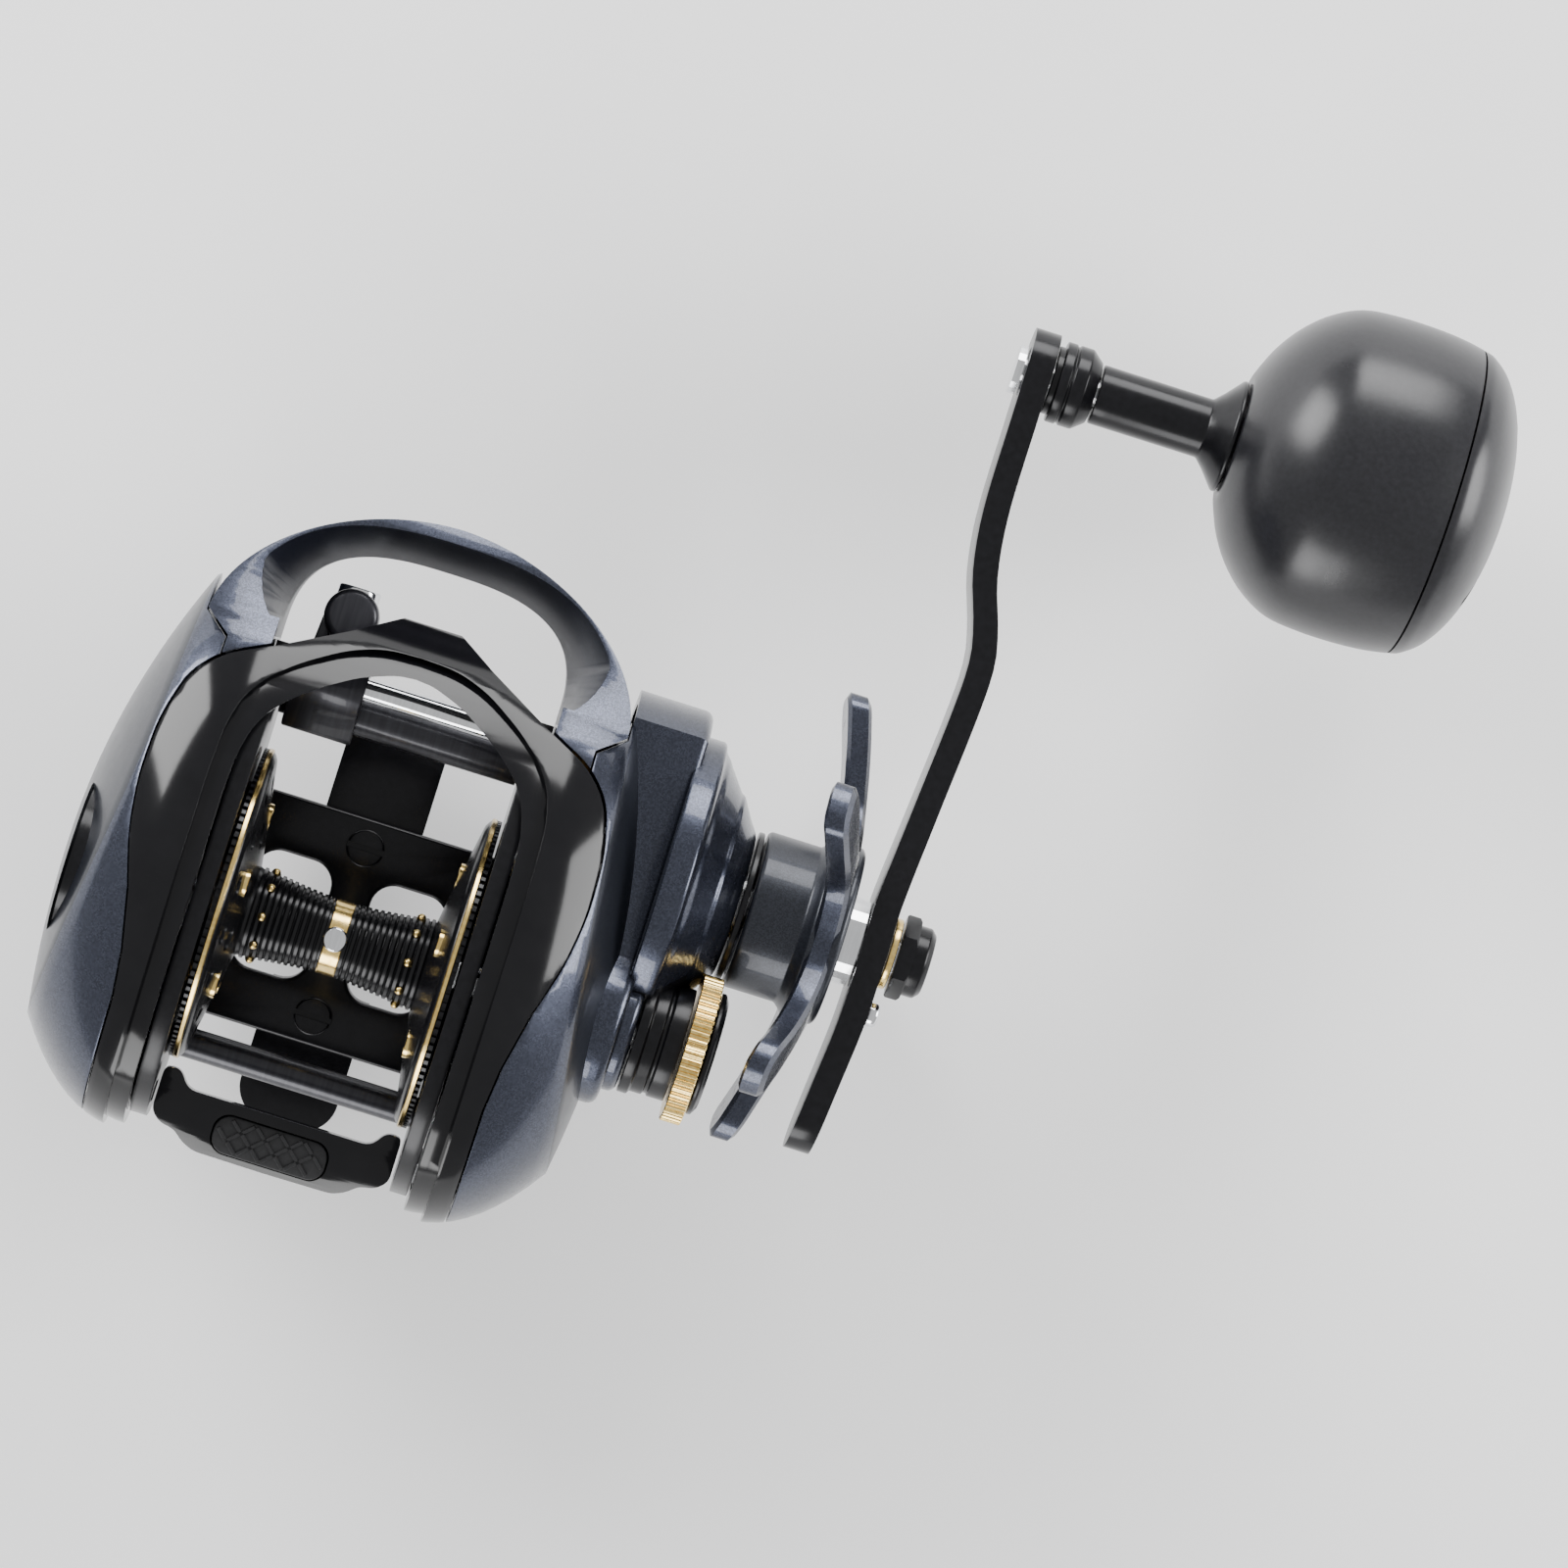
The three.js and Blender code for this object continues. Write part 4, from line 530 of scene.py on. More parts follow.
# ------------------------------------------------------------------ body shell
@dataclass
class ShellForm:
    """The reel's outer form, in millimetres, that hood and covers are cut from."""

    half_width: float = 37.95
    shoulder: float = 19.5
    crease: float = 32.8
    crease_sweep: float = 3.3
    crease_scale: float = 0.8
    crease_scale_sweep: float = 0.12
    rear: float = -33.0
    front: float = 45.0
    bottom: float = -2.0
    top: float = 53.6
    crown_y: float = 2.0
    nose_z: float = 24.0
    bevel_rows: int = 10
    dome_rows: int = 13
    steps: int = 132

    def outline(self, angle: float) -> float:
        """Return the side outline's radius at an angle from straight ahead."""
        c, s = math.cos(angle), math.sin(angle)
        reach_y = self.front - self.crown_y if c >= 0 else self.crown_y - self.rear
        reach_z = self.top - self.nose_z if s >= 0 else self.nose_z - self.bottom
        blend = 0.5 + 0.5 * math.tanh(-6 * c)
        power = 2.0 + 0.5 * blend
        return (abs(c / reach_y) ** power + abs(s / reach_z) ** power) ** (-1 / power)

    def spot(self, angle: float, row: float, inset: float) -> Vector:
        """Return a point of the right half of the shell.

        Args:
            angle: Angle from straight ahead, in radians.
            row: Row from the shoulder outwards; the last one is the pole.
            inset: How far inside the outer surface the point lies.

        Returns:
            The point in millimetres.
        """
        forward = math.cos(angle)
        crease = self.crease - self.crease_sweep * forward
        scale_at = self.crease_scale + self.crease_scale_sweep * forward
        bevel = min(1.0, row / self.bevel_rows)
        dome = max(0.0, (row - self.bevel_rows) / self.dome_rows)
        width = self.shoulder + (crease - self.shoulder) * bevel
        bulge = (self.half_width - crease) * (1 - (1 - dome) ** 2)
        scale = (1 - (1 - scale_at) * bevel**2.2) * (1 - dome)
        radius = (self.outline(angle) - inset) * scale
        x = (width + bulge) * (self.half_width - inset) / self.half_width
        return Vector((x, self.crown_y + radius * forward, self.nose_z + radius * math.sin(angle)))

    def solid(self, inset: float = 0.0) -> bmesh.types.BMesh:
        """Return the whole form as a closed mesh, a ball moved into shape."""
        rows = 2 * (self.bevel_rows + self.dome_rows) + 1
        bm = fresh()
        bmesh.ops.create_uvsphere(bm, u_segments=self.steps, v_segments=rows, radius=1)
        half = self.bevel_rows + self.dome_rows
        for vert in bm.verts:
            level = math.acos(max(-1.0, min(1.0, -vert.co.z))) / math.pi * rows
            index = round(level)
            right = index > half
            row = index - half - 1 if right else half - index
            around = math.atan2(vert.co.y, vert.co.x)
            point = self.spot(around, row, inset)
            vert.co = point if right else Vector((-point.x, point.y, point.z))
        bmesh.ops.recalc_face_normals(bm, faces=bm.faces)
        return bm

    def over_crease(self, place: Vector) -> bool:
        """Tell whether a point lies on the outer face, beyond the crease."""
        around = math.atan2(place.z - self.nose_z, place.y - self.crown_y)
        return abs(place.x) > self.crease - self.crease_sweep * math.cos(around) + 0.05


SHELL = ShellForm()


@dataclass
class Hood:
    """The black hood over the spool, with its pointed front bar and two legs."""

    wall: float = 3.2
    step: float = 1.0
    leg_foot: float = 6.0
    front_low: float = 32.0
    edge: tuple[Point2, ...] = (
        (0, 45.0), (3.2, 43.9), (9.4, 40.0), (18, 35.2), (25, 31.7), (28.4, 27.9), (30.2, 21),
        (30.4, 13), (29.4, 6), (27.3, -1), (25.6, -9), (25, -15), (25, -36),
    )
    opening: tuple[Point2, ...] = (
        (0, 36.0), (2.4, 35.8), (7, 34.2), (12.5, 30.7), (16.2, 27.4), (18.2, 24.4), (19.3, 20), (19.5, 14),
        (19.5, -36),
    )

    def plan(self, grow: float = 0.0) -> bmesh.types.BMesh:
        """Return the hood's plan as a tall block, grown for a gap."""
        half = [(x + grow if x else 0, y + (grow if y > -30 else 0)) for x, y in self._smooth(self.edge, 0.9)]
        return slab(mirrored_edge(half), -10, 70)

    def zone(self, drop: float = 0.0) -> bmesh.types.BMesh:
        """Return the room above the hood's lower edge."""
        side = [
            (-40, self.leg_foot - drop), (-25, self.leg_foot - drop), (-16, self.front_low - drop),
            (52, self.front_low - drop), (52, 72), (-40, 72),
        ]
        return plate(softened([*side, side[0]], 5)[:-1], -45, 45)

    def _smooth(self, points: Sequence[Point2], size: float) -> list[Point2]:
        """Ease the corners of a half outline."""
        return softened(points, size * 3, 4)

    def _inner_step(self) -> bmesh.types.BMesh:
        """Return a cutter for the sloped lip that surrounds the opening."""
        lip = [(x + 2.6 if x else 0, y + (2.9 if y > -30 else 0)) for x, y in self.opening]
        room = slab(mirrored_edge(self._smooth(lip, 0.8)), -10, 72)
        return carved(room, SHELL.solid(self.step), operation="DIFFERENCE")

    def build(self) -> None:
        """Cut the hood from the shell and finish its edges."""
        window = slab(mirrored_edge(self._smooth(self.opening, 0.8)), -10, 72)
        core = SHELL.solid(self.wall)
        hood = carved(SHELL.solid(), self.plan(), self.zone(), operation="INTERSECT")
        hood = carved(hood, core, window)
        hood = carved(hood, self._inner_step())
        bmesh.ops.remove_doubles(hood, verts=hood.verts, dist=0.02)
        bmesh.ops.dissolve_limit(
            hood, angle_limit=math.radians(0.6), use_dissolve_boundaries=False,
            verts=hood.verts, edges=hood.edges, delimit=set(),
        )
        bevelled(hood, 0.55, 3, 38)
        place_piece(hood, "hood", Body.FRAME, [HOOD_BLACK], ["top_hood"], sharp=40)


@dataclass
class Cowl:
    """The metallic arch in front of the hood, open above and below."""

    half: float = 28.8
    front: float = 56.8
    root: float = 37.0
    band_front: float = 5.9
    band_side: float = 9.3
    back: float = 31.0
    root_half: float = 25.2
    lean: float = 7.4
    slope_low: float = 24.0
    slope_high: float = 40.0

    def ring(self, half: float, front: float, power: float, steps: int) -> list[Point2]:
        """Return a rounded arch from right to left."""
        points = []
        for i in range(steps + 1):
            a = math.pi * i / steps
            c, s = math.cos(a), math.sin(a)
            x = half * math.copysign(abs(c) ** (2 / power), c)
            points.append((x, self.root + (front - self.root) * max(0.0, s) ** (2 / power)))
        return points

    def _faces_in(self, spot: Vector, way: Vector) -> bool:
        """Tell whether a face of the arch looks towards the spool; these faces get the painted shade."""
        inward = Vector((-spot.x, self.root - spot.y, 0)).normalized()
        return spot.y > self.root - 1 and way.dot(inward) > 0.3

    def plan(self, grow: float = 0.0) -> list[Point2]:
        """Return the room that covers leave for the arch."""
        half = [
            (20.5, self.back - grow), (self.root_half + grow, self.back - grow),
            (self.root_half + grow, 34.2 - grow), (self.half + grow, self.root - grow), (self.half + grow, 60),
        ]
        return mirrored_edge(half)

    def _inner_slope(self, inner: Sequence[Point2]) -> bmesh.types.BMesh:
        """Return a cutter that widens upwards, so that the inner wall leans out to a thin lip.

        Args:
            inner: The arch's inner edge in plan.

        Returns:
            The closed cutter.
        """
        cutter = slab(list(inner), self.slope_low, self.slope_high)
        for vert in cutter.verts:
            if vert.co.z < self.slope_high - 1:
                continue
            rise = vert.co.y - self.root
            out = Vector((vert.co.x, 1.6 * rise, 0)).normalized()
            vert.co += out * self.lean * min(1.0, rise / 6)
        return cutter

    def build(self) -> None:
        """Build the arch as a shaped band and cut it free of the hood."""
        outer = self.ring(self.half, self.front, 1.85, 64)
        inner = self.ring(self.half - self.band_side, self.front - self.band_front, 2.8, 64)
        outline = [
            (19.5, self.back), (self.root_half, self.back), (self.root_half, 34.2), *outer,
            (-self.root_half, 34.2), (-self.root_half, self.back), (-19.5, self.back), *reversed(inner),
        ]
        side = smooth_curve(
            [(29, 44.6), (33, 43.4), (37, 40.8), (42, 38.0), (46, 36.0), (51, 33.6), (55.8, 32), (57.9, 31)], 5
        )
        lower = smooth_curve([(58.5, 25), (53, 23.2), (48, 20.6), (41, 10.2), (36, 8.2), (29, 8)], 5)
        band = carved(
            slab(outline, 0, 60), plate([*side, *lower], -45, 45), operation="INTERSECT"
        )
        hood = carved(HOOD.plan(0.3), HOOD.zone(0.3), operation="INTERSECT")
        inside = block((-19.5, 0, 0), (19.5, 35.9, 60))
        gears = spun([(-25.8, 0), (-25.8, 19), (25.8, 19), (25.8, 0)], SHAFT_Y, SHAFT_Z, 48)
        band = carved(band, hood, inside, gears, self._inner_slope(inner))
        bmesh.ops.remove_doubles(band, verts=band.verts, dist=0.02)
        bevelled(band, 0.8, 3, 34)
        # Faces that look towards the spool take the darker copy of the paint, painted shade on the arch's inner wall.
        place_piece(
            band, "front_arch", Body.FRAME, [METALLIC, INNER_WALL_SHADE], ["front_cowl"],
            choose=lambda spot, way: int(self._faces_in(spot, way)), sharp=40,
        )


@dataclass
class SideCover:
    """A side cover cut from the shell, with the crease between its two faces."""

    side: int
    wall: float = 2.0

    def skin(self) -> bmesh.types.BMesh:
        """Return the cover's shell without what is fixed on it."""
        low, high = ((19.8, -60, -20), (60, 80, 80)) if self.side > 0 else ((-60, -60, -20), (-19.8, 80, 80))
        half = carved(SHELL.solid(), block(low, high), operation="INTERSECT")
        hood = carved(HOOD.plan(0.3), HOOD.zone(0.3), operation="INTERSECT")
        arch = slab(COWL.plan(0.3), -10, 70)
        return carved(half, SHELL.solid(self.wall), hood, arch)


@dataclass
class PalmCover(SideCover):
    """The palm side cover with the recess of the brake dial."""

    side: int = -1
    dial_radius: float = 10.3
    dial_height: float = 33.5
    floor_x: float = -33.0

    def build(self) -> None:
        """Cut the recess, line it and place the cover."""
        pit = spun(
            [(-45, 0), (-45, self.dial_radius), (self.floor_x, self.dial_radius), (self.floor_x, 0)],
            0, self.dial_height, 72,
        )
        cover = carved(self.skin(), pit)
        bmesh.ops.remove_doubles(cover, verts=cover.verts, dist=0.02)
        bevelled(cover, 0.35, 2, 45)
        place_piece(
            cover, "palm_shell", Body.FRAME, [METALLIC, METALLIC_DARK], ["palm_cover"],
            choose=lambda spot, way: int(SHELL.over_crease(spot)), sharp=38,
        )
        lining = spun(
            [
                (-36.6, self.dial_radius - 0.02), (-36.2, self.dial_radius - 0.5),
                (self.floor_x - 0.5, self.dial_radius - 0.5), (self.floor_x - 0.5, 2.2),
                (self.floor_x, 2.2), (self.floor_x, self.dial_radius - 0.02),
            ],
            0, self.dial_height, 72,
        )
        place_piece(lining, "dial_recess", Body.FRAME, [BLACK_METAL], closed=True)


HOOD = Hood()
COWL = Cowl()


# ------------------------------------------------------------------ gear side
@dataclass
class GearCover(SideCover):
    """The gear side cover with its hump, step, cone and cast control boss."""

    side: int = 1
    hump: float = 23.8
    tail: float = 11.0
    hump_end: float = 39.5
    step_radius: float = 20.5
    step_end: float = 42.6
    nose_end: float = 49.7
    nose_radius: float = 9.8
    boss_radius: float = 8.6
    boss_end: float = 41.4

    def outline(self, inset: float, grow_front: float = 0.0) -> list[Point2]:
        """Return the hump's outline round the drive shaft and the spool axis."""
        big, small = self.hump - inset + grow_front, self.tail - inset
        dy, dz = SHAFT_Y, SHAFT_Z - AXIS_Z
        lean = math.atan2(dz, dy)
        spread = math.acos((big - small) / math.hypot(dy, dz))
        front = arc(SHAFT_Y, SHAFT_Z, big, lean - spread, lean + spread, 60)
        back = arc(0, AXIS_Z, small, lean + spread, lean + math.tau - spread, 24)
        return [*front, *back]

    def build(self) -> None:
        """Cut the cover, then set the hump, step and boss on it."""
        hood = carved(HOOD.plan(0.3), HOOD.zone(0.3), operation="INTERSECT")
        arch = slab(COWL.plan(0.3), -10, 70)
        rooms = [
            spun([(20, 0), (20, 19.0), (26.4, 19.0), (26.4, 0)], SHAFT_Y, SHAFT_Z, 64),
        ]
        cover = carved(self.skin(), *rooms)
        bmesh.ops.remove_doubles(cover, verts=cover.verts, dist=0.02)
        bevelled(cover, 0.35, 2, 45)
        place_piece(
            cover, "gear_shell", Body.FRAME, [METALLIC, METALLIC_DARK], ["gear_cover"],
            choose=lambda spot, way: int(SHELL.over_crease(spot)), sharp=38,
        )
        lump = plate(self.outline(0), 26.8, self.hump_end)
        bevelled(lump, 1.5, 4, 60)
        lump = carved(lump, hood, arch, SHELL.solid(1.2))
        bore = spun([(20, 0), (20, 8.9), (60, 8.9), (60, 0)], 0, AXIS_Z, 56)
        lump = carved(lump, bore)
        place_piece(lump, "gear_hump", Body.FRAME, [METALLIC], sharp=30)
        self._step()
        self._boss()

    def _step(self) -> None:
        """Turn the step and cone over the drive shaft and scoop them for the barrel."""
        profile = [
            (38.6, 5.6), (38.6, self.step_radius), (self.step_end - 0.4, self.step_radius),
            (self.step_end, self.step_radius - 1.3), (43.4, 18.4), (43.9, 17.6), (46.2, 14.6), (46.7, 14.4),
            (48.4, 11.6), (self.nose_end, self.nose_radius), (self.nose_end, 5.6), (38.6, 5.6),
        ]
        cone = spun(profile, SHAFT_Y, SHAFT_Z, 96, 0.5)
        scoop = spun(
            softened([(self.boss_end, 0), (self.boss_end, 8.95), (60, 8.95), (60, 0)], 0.8), 0, AXIS_Z, 72
        )
        cone = carved(cone, scoop)
        bmesh.ops.remove_doubles(cone, verts=cone.verts, dist=0.02)
        place_piece(
            cone, "gear_cone", Body.FRAME, [METALLIC, BLACK_METAL],
            choose=lambda spot, way: int(math.hypot(spot.y, spot.z - AXIS_Z) < 9.05), sharp=30,
        )

    def _boss(self) -> None:
        """Turn the short boss behind the cast control barrel."""
        ring = [(34, 8.6), (self.boss_end - 0.7, 8.6), (self.boss_end, 8.0), (self.boss_end, 5.7), (34, 5.7), (34, 8.6)]
        place_piece(spun(ring, 0, AXIS_Z, 64, 0.3), "cast_boss", Body.FRAME, [METALLIC], sharp=30)


@dataclass
class NoseParts:
    """The thin ring between the gear cone and the star's sleeve."""

    start: float = 50.0
    end: float = 50.8
    radius: float = 10.4

    def build(self) -> None:
        """Turn the ring."""
        ring = [
            (self.start, 5.6), (self.start, self.radius), (self.end, self.radius), (self.end, 5.6),
            (self.start, 5.6),
        ]
        place_piece(spun(ring, SHAFT_Y, SHAFT_Z, 72, 0.2), "cone_ring", Body.FRAME, [BLACK_METAL], ["nose_ring"])


# ------------------------------------------------------------------ cast control
@dataclass
class CastControl:
    """Barrel, gold knurled ring and black cap on the spool axis."""

    barrel: float = 7.75
    start: float = 41.7
    end: float = 48.0
    ring_start: float = 48.3
    ring_end: float = 51.1
    ring_radius: float = 10.2
    teeth: int = 54
    cap_radius: float = 8.4
    cap_end: float = 52.6

    def build(self) -> None:
        """Build the three pieces."""
        barrel = [
            (self.start, 3), (self.start, 8.25), (43.0, 8.25), (43.3, self.barrel), (44.9, self.barrel),
            (45.1, 7.4), (45.5, 7.4), (45.7, self.barrel), (self.end, self.barrel), (self.end, 5.2),
            (42.9, 5.2), (42.9, 3), (self.start, 3),
        ]
        place_piece(spun(barrel, 0, AXIS_Z, 64, 0.12), "barrel", Body.FRAME, [BLACK_METAL], ["cast_barrel"])
        points: list[Point2] = []
        for i in range(self.teeth):
            for part, drop in ((0.0, 0.0), (0.34, 0.0), (0.5, 0.42), (0.84, 0.42)):
                a = (i + part) / self.teeth * math.tau
                r = self.ring_radius - drop
                points.append((r * math.cos(a), AXIS_Z + r * math.sin(a)))
        ring = plate(points, self.ring_start, self.ring_end)
        bevelled(ring, 0.12, 1, 60)
        trim = spun([(47, 0), (47, 9.1), (48.7, 10.9), (50.7, 10.9), (52.3, 9.1), (52.3, 0)], 0, AXIS_Z, 72)
        ring = carved(ring, trim, operation="INTERSECT")
        hole = spun([(46, 0), (46, 6.4), (54, 6.4), (54, 0)], 0, AXIS_Z, 48)
        place_piece(carved(ring, hole), "gold_ring", Body.CAST, [GOLD], ["cast_knob"], sharp=25)
        cap = [
            (48.5, 0), (48.5, 6.2), (51.4, 6.2), (51.4, self.cap_radius), (52.0, self.cap_radius),
            (self.cap_end, 7.3), (52.35, 6.4), (52.35, 0),
        ]
        face = spun(cap, 0, AXIS_Z, 64, 0.18)
        place_piece(face, "cast_cap_face", Body.CAST, [BLACK_METAL], ["cast_cap"])


# ------------------------------------------------------------------ spool
@dataclass
class Spool:
    """The ported spool with gold rims, a ribbed arbor and its line pin."""

    rim: float = 15.8
    band: float = 16.5
    radius: float = 21.5
    arbor: float = 11.8
    waist_radius: float = 5.1
    end_radius: float = 6.3
    rib_pitch: float = 0.86

    def arbor_radius(self, x: float) -> float:
        """Return the arbor's radius at a place along it."""
        share = min(1.0, abs(x) / self.arbor)
        return self.waist_radius + (self.end_radius - self.waist_radius) * share**1.5

    def build(self) -> None:
        """Build arbor, flanges, rims, pin and studs."""
        self._arbor()
        for side in (-1, 1):
            self._flange(side)
        self._pin()

    def _arbor(self) -> None:
        """Turn the ribbed arbor and its gold middle band."""
        profile: list[Point2] = [(-self.arbor - 1.0, 2.3), (-self.arbor - 1.0, self.end_radius + 0.1)]
        x = -self.arbor
        while x < self.arbor - 0.2:
            if abs(x + self.rib_pitch / 2) > 1.5:
                r = self.arbor_radius(x + self.rib_pitch / 2)
                profile += [(x + 0.08, r - 0.3), (x + 0.2, r), (x + 0.62, r), (x + 0.74, r - 0.3)]
            x += self.rib_pitch
        profile += [(self.arbor + 1.0, self.end_radius + 0.1), (self.arbor + 1.0, 2.3), profile[0]]
        core = spun(profile, 0, AXIS_Z, 72)
        place_piece(core, "arbor", Body.SPOOL, [BLACK_METAL], ["spool"], sharp=30)
        r = self.waist_radius + 0.05
        band = [(-1.3, r - 1), (-1.3, r - 0.1), (-1.15, r), (1.15, r), (1.3, r - 0.1), (1.3, r - 1), (-1.3, r - 1)]
        place_piece(spun(band, 0, AXIS_Z, 64), "arbor_band", Body.SPOOL, [GOLD], sharp=30)
        studs = []
        for x in (-10.1, 10.1):
            for turn in range(0, 360, 40):
                a = math.radians(turn)
                stud = fresh()
                bmesh.ops.create_uvsphere(stud, u_segments=14, v_segments=10, radius=0.62)
                reach = self.arbor_radius(x) + 0.02
                bmesh.ops.translate(
                    stud, vec=(x, reach * math.sin(a), AXIS_Z + reach * math.cos(a)), verts=stud.verts
                )
                studs.append(stud)
        place_piece(merged(*studs), "arbor_studs", Body.SPOOL, [GOLD])

    def _flange(self, side: int) -> None:
        """Turn one flange, bore its ports and set the gold rims on it."""
        profile = [
            (12.6, 2.4), (12.2, 6.0), (12.9, 10.6), (13.7, 15.4), (14.5, 20.3), (15.0, 21.1), (15.6, 21.3),
            (15.6, 20.4), (16.0, 19.6), (14.9, 15.3), (14.1, 10.6), (13.8, 6.6), (13.9, 2.4), (12.6, 2.4),
        ]
        disc = spun([(side * x, r) for x, r in profile], 0, AXIS_Z, 96, 0.3)
        ports, rims = [], []
        for ring_radius, count, bore, shift in ((12.6, 10, 1.7, 0.0), (17.2, 16, 1.35, 0.5)):
            for i in range(count):
                a = (i + shift) / count * math.tau
                y, z = ring_radius * math.cos(a), AXIS_Z + ring_radius * math.sin(a)
                ports.append(spun([(side * 10, 0), (side * 10, bore), (side * 19, bore), (side * 19, 0)], y, z, 20))
                mid = 13.75
                if ring_radius > 14 or i % 2:
                    continue
                rims.append(
                    spun(
                        [
                            (side * (mid - 0.72), bore - 0.02), (side * (mid - 0.78), bore + 0.1),
                            (side * (mid - 0.72), bore + 0.24), (side * (mid + 0.3), bore + 0.24),
                            (side * (mid + 0.3), bore - 0.02), (side * (mid - 0.72), bore - 0.02),
                        ],
                        y, z, 20,
                    )
                )
        disc = carved(disc, merged(*ports))
        word = "gear" if side > 0 else "palm"
        place_piece(disc, f"flange_{word}", Body.SPOOL, [BLACK_METAL], sharp=30)
        place_piece(merged(*rims), f"port_rims_{word}", Body.SPOOL, [GOLD], sharp=30)
        gold = [
            (15.2, 20.6), (15.15, 21.35), (15.3, self.radius), (15.75, self.radius), (15.9, 21.35), (15.9, 20.6),
            (15.2, 20.6),
        ]
        place_piece(
            spun([(side * x, r) for x, r in gold], 0, AXIS_Z, 128), f"gold_rim_{word}", Body.SPOOL, [GOLD]
        )
        self._serrated_band(side, word)

    def _serrated_band(self, side: int, word: str) -> None:
        """Cut the fine notches of the band outside the gold rim."""
        points: list[Point2] = []
        count = 110
        for i in range(count):
            for part, drop in ((0.0, 0.12), (0.45, 0.12), (0.55, 0.55), (0.92, 0.55)):
                a = (i + part) / count * math.tau
                r = self.radius - drop
                points.append((r * math.cos(a), AXIS_Z + r * math.sin(a)))
        x0, x1 = sorted((side * 15.92, side * self.band))
        band = carved(plate(points, x0, x1), spun([(side * 15, 0), (side * 15, 19.4), (side * 18, 19.4), (side * 18, 0)], 0, AXIS_Z, 64))
        place_piece(band, f"serrated_band_{word}", Body.SPOOL, [BLACK_METAL], sharp=25)

    def _pin(self) -> None:
        """Build the domed line pin in the middle of the arbor."""
        pin = post(0, 0, AXIS_Z + 2.4, AXIS_Z + 6.0, 1.7, 48)
        bevelled(pin, 0.45, 4, 50)
        place_piece(pin, "line_pin_head", Body.SPOOL, [CHROME], ["line_pin"], sharp=40)


# ------------------------------------------------------------------ star and handle
@dataclass
class StarDrag:
    """The five-armed star and the sleeve behind it."""

    arms: int = 5
    radius: float = 33.0
    hub: float = 12.0
    start: float = 60.2
    thickness: float = 3.4
    sweep: float = 4.4
    phase: float = math.radians(58)
    sleeve: float = 10.9
    sleeve_start: float = 51.2

    def build(self) -> None:
        """Build the swept star, then its sleeve."""
        points: list[Point2] = []
        edge = [(10.6, -5.6), (17, -3.3), (24, -3.3), (29.4, -4.5), (32.4, -3.4), (33, -1.0), (32.6, 2.4), (31, 3.7), (25.6, 3.9), (17, 3.3)]
        for arm in range(self.arms):
            a = self.phase + arm * math.tau / self.arms
            c, s = math.cos(a), math.sin(a)
            points += [(SHAFT_Y + r * c - t * s, SHAFT_Z + r * s + t * c) for r, t in edge]
        closed = softened([*points, points[0]], 2.0, 4)[:-1]
        star = plate(closed, 0, self.thickness)
        caps = [f for f in star.faces if abs(f.normal.x) > 0.9]
        inner = bmesh.ops.inset_region(star, faces=caps, thickness=0.85, depth=0.0, use_even_offset=True)
        del inner
        caps = sorted((f for f in star.faces if abs(f.normal.x) > 0.9 and f.calc_area() > 100), key=lambda f: f.calc_center_median().x)
        for cap, push in zip(caps, (-0.75, 0.75)):
            bmesh.ops.translate(star, verts=cap.verts, vec=(push, 0, 0))
        bmesh.ops.scale(star, vec=((self.thickness) / (self.thickness + 1.5), 1, 1), verts=star.verts)
        bmesh.ops.triangulate(star, faces=[f for f in star.faces if len(f.verts) > 4])
        bmesh.ops.subdivide_edges(
            star, edges=[e for e in star.edges if e.calc_length() > 2.4], cuts=2, use_grid_fill=False
        )
        for vert in star.verts:
            reach = math.hypot(vert.co.y - SHAFT_Y, vert.co.z - SHAFT_Z)
            share = max(0.0, (reach - self.hub) / (self.radius - self.hub))
            vert.co.x += self.start + 0.5 - self.sweep * share**1.4
        place_piece(star, "star_wheel", Body.STAR, [METALLIC], ["star_drag"], sharp=22)
        body = [
            (self.sleeve_start, 9.3), (self.sleeve_start, 10.5), (self.sleeve_start + 0.4, self.sleeve),
            (58.6, self.sleeve), (59.4, 11.6), (60.0, 12.4), (64.0, 12.4), (64.5, 11.8), (64.5, 3.4), (58.8, 3.4),
            (58.8, 9.3), (self.sleeve_start, 9.3),
        ]
        place_piece(spun(body, SHAFT_Y, SHAFT_Z, 96, 0.25), "star_sleeve", Body.STAR, [METALLIC_DARK], sharp=24)


